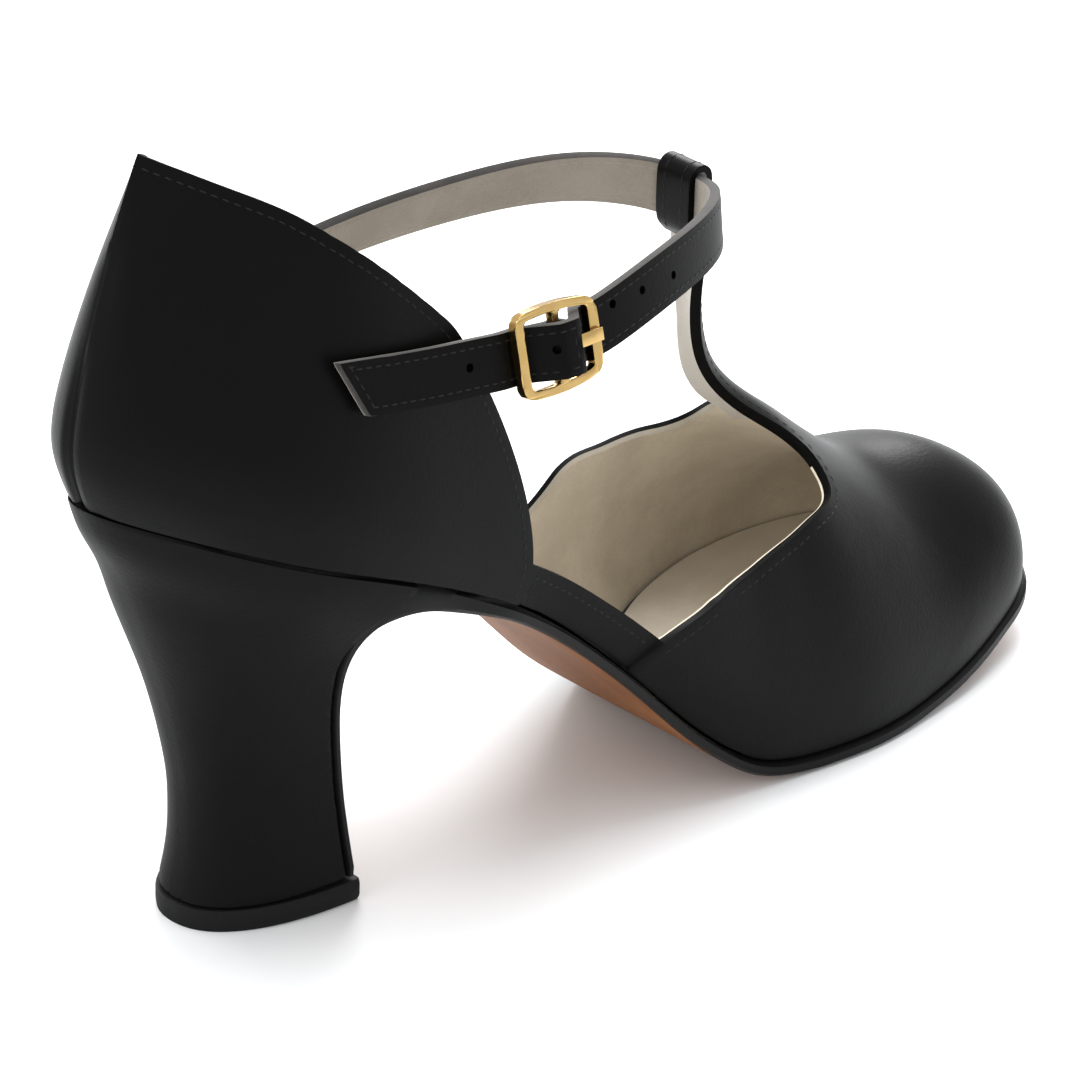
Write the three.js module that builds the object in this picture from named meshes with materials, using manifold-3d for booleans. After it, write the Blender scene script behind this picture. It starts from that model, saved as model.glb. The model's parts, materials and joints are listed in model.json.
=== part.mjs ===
// A right character shoe: T-strap upper on a curved heel, buckled on its outer side.
// Millimetres. X runs forward to the toe, Y towards the inner side of the foot, Z up.
// While it is built the heel's rearmost point is at X = 0 and the floor at Z = 0.
import * as THREE from 'three';
import { mergeVertices } from 'three/addons/utils/BufferGeometryUtils.js';
import Module from 'manifold-3d';

const wasm = await Module();
wasm.setup();

// The last: lengths along the floor, heights above it.
const SOLE_LENGTH = 210;
const BACK_OVERHANG = 3;
const TOE_OVERHANG = 0.8;
const BALL_WIDTH = 66;
const SEAT_HEIGHT = 81.6;
const TOE_SPRING = 9.3;
const FLAT_END = 0.74;
const SPRING_POWER = 1.6;
const VAMP_HEIGHT = 51;
const NOSE_START = 0.9;
const NOSE_POWER = 2.2;
const WAIST_OVERHANG = 9;
const TUCK_HEIGHT = 14;
const END_FADE = 5;
const COUNTER_HEIGHT = 57;
const LEAN_START = 8;
const LEAN_POWER = 1.35;

// Walls and fits.
const FIT = 0.3;
const WALL = 2;
const STRIP_STEP = 0.9;
const STEP_WIDTH = 0.4;
const SOLE_THICKNESS = 3.2;
const WELT = 0.7;
const INSOLE_THICKNESS = 2;

// Side strips between quarter and vamp.
const STRIP_HEIGHT = 9.5;

// Ankle strap.
const STRAP_WIDTH = 9.2;
const STRAP_THICKNESS = 1.8;

// Heel and its wearing plate.
const TOP_PIECE_HEIGHT = 4;
const TOP_PIECE_MARGIN = 0.6;
const HEEL_ROUNDNESS = 2.3;

const GIRTH_LENGTH = BACK_OVERHANG + SOLE_LENGTH + TOE_OVERHANG;
const OUTER = -1;
const INNER = 1;

// Height of the upper's lower edge along the shoe, as a share of the seat height above the sole.
const FEATHER = [
  { at: 0.0, rise: 1.0 },
  { at: 0.09, rise: 0.917 },
  { at: 0.18, rise: 0.83 },
  { at: 0.27, rise: 0.718 },
  { at: 0.36, rise: 0.572 },
  { at: 0.45, rise: 0.365 },
  { at: 0.54, rise: 0.125 },
  { at: 0.6, rise: 0.02 },
  { at: 0.65, rise: 0.0 },
  { at: 1.0, rise: 0.0 },
];

// Outline of the sole, as shares of the ball width: its bowed middle line and both half widths.
const OUTLINE = [
  { at: 0.02, middle: 0.0, outer: 0.14, inner: 0.125 },
  { at: 0.045, middle: 0.0, outer: 0.225, inner: 0.2 },
  { at: 0.075, middle: 0.0, outer: 0.31, inner: 0.285 },
  { at: 0.12, middle: 0.0, outer: 0.4, inner: 0.375 },
  { at: 0.2, middle: -0.008, outer: 0.442, inner: 0.418 },
  { at: 0.29, middle: -0.008, outer: 0.427, inner: 0.362 },
  { at: 0.37, middle: 0.0, outer: 0.409, inner: 0.285 },
  { at: 0.46, middle: 0.008, outer: 0.406, inner: 0.229 },
  { at: 0.55, middle: 0.018, outer: 0.448, inner: 0.236 },
  { at: 0.63, middle: 0.03, outer: 0.489, inner: 0.311 },
  { at: 0.72, middle: 0.045, outer: 0.522, inner: 0.459 },
  { at: 0.81, middle: 0.053, outer: 0.485, inner: 0.518 },
  { at: 0.9, middle: 0.053, outer: 0.4, inner: 0.447 },
  { at: 0.965, middle: 0.048, outer: 0.286, inner: 0.28 },
];

// How far the upper hangs out over the sole's edge, as shares of the waist overhang.
const OVERHANG = [
  { at: 0.0, outer: 0.25, inner: 0.25 },
  { at: 0.2, outer: 0.2, inner: 0.25 },
  { at: 0.35, outer: 0.25, inner: 0.6 },
  { at: 0.5, outer: 0.35, inner: 1.0 },
  { at: 0.6, outer: 0.3, inner: 1.0 },
  { at: 0.7, outer: 0.2, inner: 0.45 },
  { at: 0.82, outer: 0.12, inner: 0.15 },
  { at: 1.0, outer: 0.09, inner: 0.09 },
];

// Height of the last's top line over the feather line, as shares of the vamp height,
// and how square its sections are.
const CREST = [
  { at: 0.42, rise: 1.245, square: 1.8 },
  { at: 0.5, rise: 1.373, square: 1.75 },
  { at: 0.56, rise: 1.41, square: 1.75 },
  { at: 0.6, rise: 1.373, square: 1.75 },
  { at: 0.655, rise: 1.241, square: 1.75 },
  { at: 0.68, rise: 1.169, square: 1.75 },
  { at: 0.725, rise: 1.0, square: 1.75 },
  { at: 0.77, rise: 0.837, square: 1.8 },
  { at: 0.84, rise: 0.605, square: 1.85 },
  { at: 0.9, rise: 0.525, square: 1.95 },
  { at: 0.95, rise: 0.45, square: 2.15 },
  { at: 1.0, rise: 0.39, square: 2.4 },
];

// A smooth curve through one column of a table, with no overshoot between its rows.
function curveThrough(rows, from, to) {
  const xs = rows.map((row) => row[from]);
  const ys = rows.map((row) => row[to]);
  const steps = xs.slice(1).map((x, i) => (ys[i + 1] - ys[i]) / (x - xs[i]));
  const slopes = xs.map((x, i) => {
    if (i === 0) return steps[0];
    if (i === xs.length - 1) return steps[i - 1];
    if (steps[i - 1] * steps[i] <= 0) return 0;
    return (2 * steps[i - 1] * steps[i]) / (steps[i - 1] + steps[i]);
  });
  return (x) => {
    if (x <= xs[0]) return ys[0];
    if (x >= xs[xs.length - 1]) return ys[ys.length - 1];
    const i = xs.findIndex((value) => value > x) - 1;
    const span = xs[i + 1] - xs[i];
    const t = (x - xs[i]) / span;
    const bend = (1 - t) * slopes[i] - t * slopes[i + 1];
    return ys[i] + t * t * (3 - 2 * t) * (ys[i + 1] - ys[i]) + t * (1 - t) * bend * span;
  };
}

const { lerp, clamp, smoothstep } = THREE.MathUtils;

const riseAt = curveThrough(FEATHER, 'at', 'rise');
const middleAt = curveThrough(OUTLINE, 'at', 'middle');
const crestAt = curveThrough(CREST, 'at', 'rise');
const squareAt = curveThrough(CREST, 'at', 'square');
const roundEnds = (share) => Math.sqrt(Math.max(share * (1 - share), 0));
const outlineFactors = OUTLINE.map((row) => ({
  at: row.at,
  outer: row.outer / roundEnds(row.at),
  inner: row.inner / roundEnds(row.at),
}));
const outlineCurve = {
  [OUTER]: curveThrough(outlineFactors, 'at', 'outer'),
  [INNER]: curveThrough(outlineFactors, 'at', 'inner'),
};
const overhangCurve = {
  [OUTER]: curveThrough(OVERHANG, 'at', 'outer'),
  [INNER]: curveThrough(OVERHANG, 'at', 'inner'),
};

// Height of the upper's lower edge at a share of the length.
function featherHeight(share) {
  const spring = clamp((share - FLAT_END) / (1 - FLAT_END), 0, 1) ** SPRING_POWER;
  return SOLE_THICKNESS + riseAt(share) * (SEAT_HEIGHT - SOLE_THICKNESS) + spring * TOE_SPRING;
}

const middleLine = (share) => middleAt(share) * BALL_WIDTH;
const halfWidth = (side, share) => outlineCurve[side](share) * roundEnds(share) * BALL_WIDTH;
const overhang = (side, share) => overhangCurve[side](share) * WAIST_OVERHANG;
const nearEnds = (share) => Math.min(1, roundEnds(share) * END_FADE);
const girthWidth = (side, share) => halfWidth(side, share) + overhang(side, share) * nearEnds(share);

// A point of the sole's edge and the matching point of the upper's widest line, in plan.
function featherPlan(side, share) {
  const across = middleLine(share) + side * halfWidth(side, share);
  return new THREE.Vector2(BACK_OVERHANG + share * SOLE_LENGTH, across);
}
function girthPlan(side, share) {
  const across = middleLine(share) + side * girthWidth(side, share);
  return new THREE.Vector2(share * GIRTH_LENGTH, across);
}

// A wall point at a height over the feather line, drawn in under the widest line.
function tucked(side, share, plan, height) {
  const tuck = clamp(1 - height / TUCK_HEIGHT, 0, 1) ** 2;
  const shift = featherPlan(side, share).sub(girthPlan(side, share)).multiplyScalar(tuck);
  return new THREE.Vector3(plan.x + shift.x, plan.y + shift.y, featherHeight(share) + height);
}

const noseAt = (share) => {
  const t = clamp((share - NOSE_START) / (1 - NOSE_START), 0, 1);
  return Math.max(1 - t ** NOSE_POWER, 0) ** (1 / NOSE_POWER);
};
const crestHeight = (share) => crestAt(share) * VAMP_HEIGHT * noseAt(share);

// The vamp's surface: angle 0 is the widest line at the sole, a right angle is the crest.
function vampPoint(side, x, angle) {
  const share = clamp(x / GIRTH_LENGTH, 0, 1);
  const reach = girthWidth(side, share) * Math.max(Math.cos(angle), 0) ** (2 / squareAt(share));
  const plan = new THREE.Vector2(x, middleLine(share) + side * reach);
  return tucked(side, share, plan, crestHeight(share) * Math.sin(angle));
}
function angleOfHeight(x, height) {
  const crest = crestHeight(clamp(x / GIRTH_LENGTH, 0, 1));
  return crest > height ? Math.asin(height / crest) : (Math.PI / 2) * Math.sign(height);
}
function angleOfPlan(side, x, y) {
  const share = clamp(x / GIRTH_LENGTH, 0, 1);
  const width = Math.max(girthWidth(side, share), 1e-6);
  const reach = clamp((side * (y - middleLine(share))) / width, 0, 1);
  return Math.acos(reach ** (squareAt(share) / 2));
}

// The side wall under the topline: a point over the widest line, at a height.
function wallPoint(side, share, height) {
  return tucked(side, share, girthPlan(side, share), height);
}

// A closed wall from a grid of cells with an outer and an inner skin. A cell (i, j) reaches
// from column i to i + 1 and from row j to j + 1; a looped grid joins its last column to its first.
function wallSolid({ columns, rows, has, outer, inner, loop = false }) {
  const positions = [];
  const index = [];
  const known = new Map();
  const wrap = (i) => (loop ? (i + columns) % columns : i);
  const vertex = (skin, i, j) => {
    const key = `${skin} ${wrap(i)} ${j}`;
    if (!known.has(key)) {
      const p = skin === 'outer' ? outer(wrap(i), j) : inner(wrap(i), j);
      known.set(key, positions.length / 3);
      positions.push(p.x, p.y, p.z);
    }
    return known.get(key);
  };
  const filled = (i, j) => {
    if (j < 0 || j >= rows) return false;
    if (!loop && (i < 0 || i >= columns)) return false;
    return has(wrap(i), j);
  };
  const quad = (a, b, c, d) => index.push(a, b, c, a, c, d);
  const side = (i0, j0, i1, j1) => quad(
    vertex('outer', i1, j1),
    vertex('outer', i0, j0),
    vertex('inner', i0, j0),
    vertex('inner', i1, j1),
  );
  for (let i = 0; i < columns; i += 1) {
    for (let j = 0; j < rows; j += 1) {
      if (!filled(i, j)) continue;
      const corners = [[i, j], [i + 1, j], [i + 1, j + 1], [i, j + 1]];
      quad(...corners.map((corner) => vertex('outer', ...corner)));
      quad(...[...corners].reverse().map((corner) => vertex('inner', ...corner)));
      if (!filled(i, j - 1)) side(i, j, i + 1, j);
      if (!filled(i + 1, j)) side(i + 1, j, i + 1, j + 1);
      if (!filled(i, j + 1)) side(i + 1, j + 1, i, j + 1);
      if (!filled(i - 1, j)) side(i, j + 1, i, j);
    }
  }
  const geometry = new THREE.BufferGeometry();
  geometry.setAttribute('position', new THREE.Float32BufferAttribute(positions, 3));
  geometry.setIndex(index);
  return geometry;
}

// Columns and rows of the upper's wall.
const QUARTER_CELLS = 15;
const STRIP_CELLS = 5;
const VAMP_CELLS = 22;
const BAR_CELLS = 4;
const ROWS = 14;
const STRIP_ROWS = 3;

// The quarter's top edge, row by row along its lower edge from the back seam to the front edge:
// where it lies in plan, as shares of the length and of the ball width, and how high it stands
// over the sole on either side, as shares of the counter height.
const QUARTER = [
  { at: 0.0, forward: 0.07, across: 0.0, outer: 1.09, inner: 1.09 },
  { at: 0.1, forward: 0.0805, across: 0.034, outer: 1.082, inner: 1.075 },
  { at: 0.2, forward: 0.0925, across: 0.072, outer: 1.075, inner: 1.06 },
  { at: 0.3, forward: 0.108, across: 0.121, outer: 1.064, inner: 1.035 },
  { at: 0.4, forward: 0.127, across: 0.182, outer: 1.052, inner: 1.01 },
  { at: 0.5, forward: 0.15, across: 0.25, outer: 1.035, inner: 0.985 },
  { at: 0.6, forward: 0.176, across: 0.305, outer: 0.995, inner: 0.94 },
  { at: 0.7, forward: 0.203, across: 0.338, outer: 0.955, inner: 0.9 },
  { at: 0.8, forward: 0.231, across: 0.355, outer: 0.905, inner: 0.86 },
  { at: 0.9, forward: 0.257, across: 0.368, outer: 0.857, inner: 0.825 },
  { at: 1.0, forward: 0.278, across: 0.379, outer: 0.815, inner: 0.795 },
];
const FRONT_EDGE_BOW = 4.5;
const QUARTER_END = 0.328;

// The vamp's rear edges: where each starts and ends along the shoe and how high it rises, as
// shares of the length and of the vamp height, how much of it the side strip meets, and its bow.
const WING = {
  [OUTER]: { foot: 0.4537, top: 0.552, rise: 0.56, joint: 0.4, bow: 1.8 },
  [INNER]: { foot: 0.49, top: 0.594, rise: 0.7, joint: 0.31, bow: 1.1 },
};

// The throat from each rear edge to the T-bar's root: shares of the length, and of the climb
// over the vamp from the sole to the crest.
const CLIMB_LENGTH = 60;
const THROAT = {
  [OUTER]: [
    { forward: 0.582, climb: 0.323 },
    { forward: 0.6254, climb: 0.3925 },
    { forward: 0.665, climb: 0.455 },
    { forward: 0.7003, climb: 0.523 },
    { forward: 0.7165, climb: 0.5766 },
    { forward: 0.7225, climb: 0.6338 },
    { forward: 0.722, climb: 0.7146 },
  ],
  [INNER]: [
    { forward: 0.6175, climb: 0.378 },
    { forward: 0.65, climb: 0.4195 },
    { forward: 0.6865, climb: 0.4665 },
    { forward: 0.7165, climb: 0.528 },
    { forward: 0.73, climb: 0.61 },
    { forward: 0.728, climb: 0.7745 },
  ],
};
const BAR_ROOT_FORWARD = 0.73;

// Shares of the length at equal steps along the widest line of one side.
function sharesByArc(side, from, to, cells) {
  const fine = 400;
  const samples = Array.from({ length: fine + 1 }, (_, k) => {
    const turn = lerp(Math.acos(1 - 2 * from), Math.acos(1 - 2 * to), k / fine);
    return (1 - Math.cos(turn)) / 2;
  });
  const lengths = [0];
  for (let k = 1; k <= fine; k += 1) {
    const step = girthPlan(side, samples[k]).distanceTo(girthPlan(side, samples[k - 1]));
    lengths.push(lengths[k - 1] + step);
  }
  const rows = samples.map((share, k) => ({ length: lengths[k], share }));
  return Array.from({ length: cells + 1 }, (_, k) => {
    const goal = (lengths[fine] * k) / cells;
    const next = clamp(rows.findIndex((row) => row.length >= goal), 1, fine);
    const t = (goal - rows[next - 1].length) / (rows[next].length - rows[next - 1].length);
    return lerp(rows[next - 1].share, rows[next].share, clamp(t, 0, 1));
  });
}

const quarterForward = curveThrough(QUARTER, 'at', 'forward');
const quarterAcross = curveThrough(QUARTER, 'at', 'across');
const quarterRise = {
  [OUTER]: curveThrough(QUARTER, 'at', 'outer'),
  [INNER]: curveThrough(QUARTER, 'at', 'inner'),
};

// A point of the quarter: it stands on the widest line and leans in to its top edge.
// The first rows stay level with the side strip.
function quarterPlace(side, k, j, feet) {
  const at = k / QUARTER_CELLS;
  const top = quarterRise[side](at) * COUNTER_HEIGHT;
  const level = lerp(STRIP_HEIGHT, top, clamp((j - STRIP_ROWS) / (ROWS - STRIP_ROWS), 0, 1));
  const height = j < STRIP_ROWS ? (STRIP_HEIGHT * j) / STRIP_ROWS : level;
  const lean = clamp((height - LEAN_START) / (top - LEAN_START), 0, 1) ** LEAN_POWER;
  const goal = new THREE.Vector2(
    quarterForward(at) * GIRTH_LENGTH,
    side * quarterAcross(at) * BALL_WIDTH,
  );
  const plan = girthPlan(side, feet[k]).lerp(goal, lean);
  const t = height / top;
  plan.x += FRONT_EDGE_BOW * at ** 3 * 4 * t * (1 - t);
  return { plan, height };
}

// The top of each vamp column, in plan: from the rear edge round the throat, drawn on the vamp
// laid flat, and along the T-bar's root.
function throatPoints(side) {
  const wing = WING[side];
  const start = angleOfHeight(wing.top * GIRTH_LENGTH, wing.rise * VAMP_HEIGHT);
  const rows = [{ forward: wing.top, climb: start / (Math.PI / 2) }, ...THROAT[side]];
  const laidFlat = rows.map((row) => {
    return new THREE.Vector3(row.forward * GIRTH_LENGTH, row.climb * CLIMB_LENGTH, 0);
  });
  const edge = new THREE.CatmullRomCurve3(laidFlat, false, 'centripetal');
  const around = edge.getSpacedPoints(VAMP_CELLS - BAR_CELLS).map((point) => {
    const top = vampPoint(side, point.x, (point.y / CLIMB_LENGTH) * (Math.PI / 2));
    return new THREE.Vector2(top.x, top.y);
  });
  const corner = around[around.length - 1];
  const root = new THREE.Vector2(BAR_ROOT_FORWARD * GIRTH_LENGTH, middleLine(BAR_ROOT_FORWARD));
  const across = Array.from({ length: BAR_CELLS }, (_, k) => {
    return corner.clone().lerp(root, (k + 1) / BAR_CELLS);
  });
  return [...around, ...across];
}

// A vamp column climbs straight from its foot to its top: near the wing along the wall,
// round the toe in plan.
function vampPlace(side, c, j, feet, tops) {
  const wing = WING[side];
  const turn = c / VAMP_CELLS;
  const joint = lerp(wing.joint, STRIP_ROWS / ROWS, smoothstep(turn, 0, 0.5));
  const upper = joint + ((1 - joint) * (j - STRIP_ROWS)) / (ROWS - STRIP_ROWS);
  const t = j < STRIP_ROWS ? (joint * j) / STRIP_ROWS : upper;
  const foot = girthPlan(side, feet[c]);
  const top = tops[c];
  const topAngle = angleOfPlan(side, top.x, top.y);
  const topHeight = crestHeight(top.x / GIRTH_LENGTH) * Math.sin(topAngle);
  const bow = wing.bow * (1 - smoothstep(turn, 0, 0.3)) * 4 * t * (1 - t);
  const wallX = lerp(foot.x, top.x, t) - bow;
  const wallAngle = angleOfHeight(wallX, topHeight * t);
  const eased = 1 - Math.cos((t * Math.PI) / 2);
  const plan = foot.clone().lerp(top, eased);
  const planAngle = t > 0 ? angleOfPlan(side, plan.x, plan.y) : 0;
  const weight = smoothstep(turn, 0.15, 0.75);
  return { x: lerp(wallX, plan.x, weight), angle: lerp(wallAngle, planAngle, weight) };
}

// All the columns of one side, from the back seam to the toe: each gives its surface points.
function sideColumns(side) {
  const quarterFeet = sharesByArc(side, 0, QUARTER_END, QUARTER_CELLS);
  const vampFeet = sharesByArc(side, WING[side].foot, 1, VAMP_CELLS);
  const tops = throatPoints(side);
  const quarterEdge = (j) => quarterPlace(side, QUARTER_CELLS, j, quarterFeet);
  const wingEdge = (j) => vampPlace(side, 0, j, vampFeet, tops);
  const columns = [];
  for (let k = 0; k <= QUARTER_CELLS; k += 1) {
    columns.push({
      zone: 'quarter',
      side,
      point: (j) => {
        const { plan, height } = quarterPlace(side, k, j, quarterFeet);
        return tucked(side, plan.x / GIRTH_LENGTH, plan, height);
      },
    });
  }
  for (let k = 0; k <= STRIP_CELLS; k += 1) {
    columns.push({
      zone: 'strip',
      side,
      point: (j) => {
        const rear = quarterEdge(j);
        const front = wingEdge(j);
        const margin = STEP_WIDTH / (front.x - rear.plan.x);
        const t = lerp(margin, 1 - margin, k / STRIP_CELLS);
        const x = lerp(rear.plan.x, front.x, t);
        const frontHeight = crestHeight(front.x / GIRTH_LENGTH) * Math.sin(front.angle);
        const height = lerp(rear.height, frontHeight, t);
        const upright = wallPoint(side, x / GIRTH_LENGTH, height);
        return upright.lerp(vampPoint(side, x, angleOfHeight(x, height)), t);
      },
    });
  }
  for (let c = 0; c <= VAMP_CELLS; c += 1) {
    columns.push({
      zone: 'vamp',
      side,
      bar: c - (VAMP_CELLS - BAR_CELLS),
      point: (j) => {
        const place = vampPlace(side, c, j, vampFeet, tops);
        return vampPoint(side, place.x, place.angle);
      },
    });
  }
  return columns;
}

// The strap's loop at the front: the middle of the strap there.
const LOOP_HEIGHT = 97;
const LOOP_FORWARD = 136.1;
const LOOP_FIT = 0.45;
const FOLD_WALL = 1.4;

// The T-bar's upper part, row by row: how far it stands forward of the loop, its height as a
// share of the loop's, its half width and its shift to the side as shares of the bar's width,
// how far its edges fall back, and its turn in degrees.
const BAR_WIDTH = 8;
const BAR = [
  { ahead: 16.2, up: 0.575, half: 1.25, shift: -0.25, arch: 0.32, turn: 0 },
  { ahead: 12.6, up: 0.606, half: 1.0, shift: -0.15, arch: 0.34, turn: 2 },
  { ahead: 9.6, up: 0.637, half: 0.8, shift: -0.08, arch: 0.36, turn: 5 },
  { ahead: 7.0, up: 0.674, half: 0.66, shift: -0.03, arch: 0.36, turn: 10 },
  { ahead: 5.5, up: 0.716, half: 0.57, shift: 0, arch: 0.34, turn: 15 },
  { ahead: 4.6, up: 0.768, half: 0.52, shift: 0, arch: 0.28, turn: 17 },
  { ahead: 3.7, up: 0.82, half: 0.5, shift: 0, arch: 0.2, turn: 13 },
  { ahead: 3.0, up: 0.87, half: 0.5, shift: 0, arch: 0.1, turn: 6 },
  { ahead: 2.8, up: 0.915, half: 0.5, shift: 0, arch: 0.03, turn: 1 },
];
const FOLD_STEPS = 6;
const FLAP_DROP = 2.7;
const BAR_MIDDLE = 3.5;

// Outer skin of the T-bar as a run of stations: its middle, its outward direction and its shape.
function barStations() {
  const gap = STRAP_THICKNESS / 2 + LOOP_FIT;
  const outerX = LOOP_FORWARD + gap + FOLD_WALL;
  const foldHeight = LOOP_HEIGHT + STRAP_WIDTH / 2 - FIT;
  const stations = BAR.map((row, k) => {
    const before = BAR[Math.max(k - 1, 0)];
    const after = BAR[Math.min(k + 1, BAR.length - 1)];
    const climb = (after.up - before.up) * LOOP_HEIGHT;
    const run = new THREE.Vector2(after.ahead - before.ahead, climb).normalize();
    return {
      x: LOOP_FORWARD + row.ahead,
      z: row.up * LOOP_HEIGHT,
      out: new THREE.Vector2(run.y, -run.x),
      half: row.half * BAR_WIDTH,
      middle: BAR_MIDDLE + row.shift * BAR_WIDTH,
      arch: row.arch * BAR_WIDTH,
      turn: THREE.MathUtils.degToRad(row.turn),
    };
  });
  const flat = (x, z, out) => {
    stations.push({ x, z, out, half: BAR_WIDTH / 2, middle: BAR_MIDDLE, arch: 0, turn: 0 });
  };
  const forward = new THREE.Vector2(1, 0);
  flat(outerX, LOOP_HEIGHT - STRAP_WIDTH / 4, forward);
  flat(outerX, LOOP_HEIGHT + STRAP_WIDTH / 8, forward);
  for (let k = 0; k <= FOLD_STEPS; k += 1) {
    const angle = (Math.PI * k) / FOLD_STEPS;
    const out = new THREE.Vector2(Math.cos(angle), Math.sin(angle));
    flat(LOOP_FORWARD + out.x * (gap + FOLD_WALL), foldHeight + out.y * (gap + FOLD_WALL), out);
  }
  const backward = new THREE.Vector2(-1, 0);
  const flapX = LOOP_FORWARD - gap - FOLD_WALL;
  flat(flapX, LOOP_HEIGHT, backward);
  flat(flapX, LOOP_HEIGHT - STRAP_WIDTH / 2, backward);
  const closed = outerX - 2 * FOLD_WALL - FIT;
  const lowest = LOOP_HEIGHT - STRAP_WIDTH / 2 - FLAP_DROP;
  flat(lerp(flapX, closed, 0.6), lowest + FLAP_DROP * 0.4, new THREE.Vector2(-0.8, -0.6));
  flat(closed, lowest, new THREE.Vector2(-0.9, -0.44));
  return stations;
}

// A point of the T-bar's outer skin: across runs from -1 on the outer side to 1 on the inner.
function barPoint(station, across) {
  const y = station.half * across;
  const fall = station.arch * across * across;
  const x = station.x + Math.sin(station.turn) * y - fall * station.out.x;
  return new THREE.Vector3(x, station.middle + y * Math.cos(station.turn), station.z - fall * station.out.y);
}

const barRun = barStations();

function upperSolid() {
  const outerSide = sideColumns(OUTER);
  const innerSide = sideColumns(INNER);
  const columns = [...outerSide, ...innerSide.slice(1, -1).reverse()];
  const last = columns.length;
  const inBar = (column) => column.zone === 'vamp' && column.bar >= 0;
  const top = (i) => (inBar(columns[i]) ? ROWS + barRun.length : ROWS);
  const base = columns.map((column, i) => Array.from({ length: top(i) + 1 }, (_, j) => {
    if (j <= ROWS) return column.point(j);
    const station = barRun[j - ROWS - 1];
    return barPoint(station, (column.side * (BAR_CELLS - column.bar)) / BAR_CELLS);
  }));
  const rowsBetween = (i) => {
    const pair = [columns[i], columns[(i + 1) % last]];
    if (pair.some((column) => column.zone === 'strip')) return STRIP_ROWS;
    return pair.every(inBar) ? ROWS + barRun.length : ROWS;
  };
  const has = (i, j) => j < rowsBetween(i);
  // The vamp's rear edge runs on into the throat in one line, so the corner between them takes
  // its direction from the next cell.
  const normal = (i, j) => {
    if (columns[i].bar === BAR_CELLS - VAMP_CELLS && j === ROWS) {
      return normal(i - columns[i].side, ROWS - 1);
    }
    const before = (i + last - 1) % last;
    const after = (i + 1) % last;
    const row = Math.min(j, base[i].length - 1);
    const left = row < base[before].length && row <= rowsBetween(before) ? base[before][row] : base[i][row];
    const right = row < base[after].length && row <= rowsBetween(i) ? base[after][row] : base[i][row];
    const up = base[i][Math.min(row + 1, base[i].length - 1)];
    const down = base[i][Math.max(row - 1, 0)];
    return right.clone().sub(left).cross(up.clone().sub(down)).normalize();
  };
  const skin = (i, j, depth) => base[i][j].clone().addScaledVector(normal(i, j), -depth);
  return wallSolid({
    columns: last,
    rows: ROWS + barRun.length,
    loop: true,
    has,
    outer: (i, j) => skin(i, j, columns[i].zone === 'strip' ? STRIP_STEP : 0),
    inner: (i, j) => skin(i, j, j > ROWS + BAR.length ? FOLD_WALL : WALL),
  });
}

// The sole from the toe to the waist, flat across, level with the upper's lower edge.
const SOLE_CELLS = 40;
const SOLE_START = 0.9997;
const SOLE_END = 0.315;
const WELT_END = 0.5;

// The sole's last stretch, down the front of the heel: its visible face along the shoe and up,
// as shares of the length and of the seat height, its half width and its cover thickness.
const BREAST = [
  { forward: 0.285, up: 0.664, half: 0.392, cover: 5.0 },
  { forward: 0.262, up: 0.684, half: 0.386, cover: 5.6 },
  { forward: 0.243, up: 0.686, half: 0.375, cover: 6.8 },
  { forward: 0.2275, up: 0.668, half: 0.34, cover: 4.4 },
  { forward: 0.2165, up: 0.631, half: 0.3, cover: 2.6 },
  { forward: 0.2115, up: 0.582, half: 0.272, cover: 1.8 },
  { forward: 0.2115, up: 0.527, half: 0.247, cover: 1.5 },
  { forward: 0.215, up: 0.453, half: 0.223, cover: 1.5 },
  { forward: 0.222, up: 0.355, half: 0.202, cover: 1.5 },
  { forward: 0.2285, up: 0.245, half: 0.19, cover: 1.5 },
  { forward: 0.2335, up: 0.147, half: 0.195, cover: 1.5 },
  { forward: 0.236, up: 0.0527, half: 0.215, cover: 1.5 },
];

// Stations of the sole: for each, its lower and its upper line, and its two edges.
function soleStations() {
  const stations = [];
  for (let k = 0; k <= SOLE_CELLS; k += 1) {
    const t = k / SOLE_CELLS;
    const share = lerp(SOLE_START, SOLE_END, 1 - Math.cos((t * Math.PI) / 2));
    const welt = WELT * smoothstep(share, WELT_END - 0.15, WELT_END);
    const edge = (side) => {
      const before = featherPlan(side, Math.min(share + 0.004, SOLE_START));
      const after = featherPlan(side, Math.min(share, SOLE_START - 0.004) - 0.004);
      const along = before.sub(after).normalize();
      const out = new THREE.Vector2(-along.y * side, along.x * side);
      return featherPlan(side, share).addScaledVector(out, welt);
    };
    const z = featherHeight(share);
    stations.push({
      low: { [OUTER]: edge(OUTER), [INNER]: edge(INNER), z: z - SOLE_THICKNESS },
      high: { [OUTER]: edge(OUTER), [INNER]: edge(INNER), z: z - FIT },
    });
  }
  const faces = BREAST.map((row) => new THREE.Vector2(row.forward * SOLE_LENGTH, row.up * SEAT_HEIGHT));
  BREAST.forEach((row, k) => {
    const next = faces[Math.min(k + 1, faces.length - 1)];
    const along = next.clone().sub(faces[Math.max(k - 1, 0)]).normalize();
    const back = faces[k].clone().addScaledVector(new THREE.Vector2(along.y, -along.x), row.cover);
    const ceiling = featherHeight((back.x - BACK_OVERHANG) / SOLE_LENGTH) - FIT;
    const half = row.half * BALL_WIDTH;
    const line = (point) => ({
      [OUTER]: new THREE.Vector2(point.x, -half),
      [INNER]: new THREE.Vector2(point.x, half),
      z: Math.min(point.y, ceiling),
    });
    stations.push({ low: line(faces[k]), high: line(back) });
  });
  return stations;
}

const soleRun = soleStations();

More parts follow.
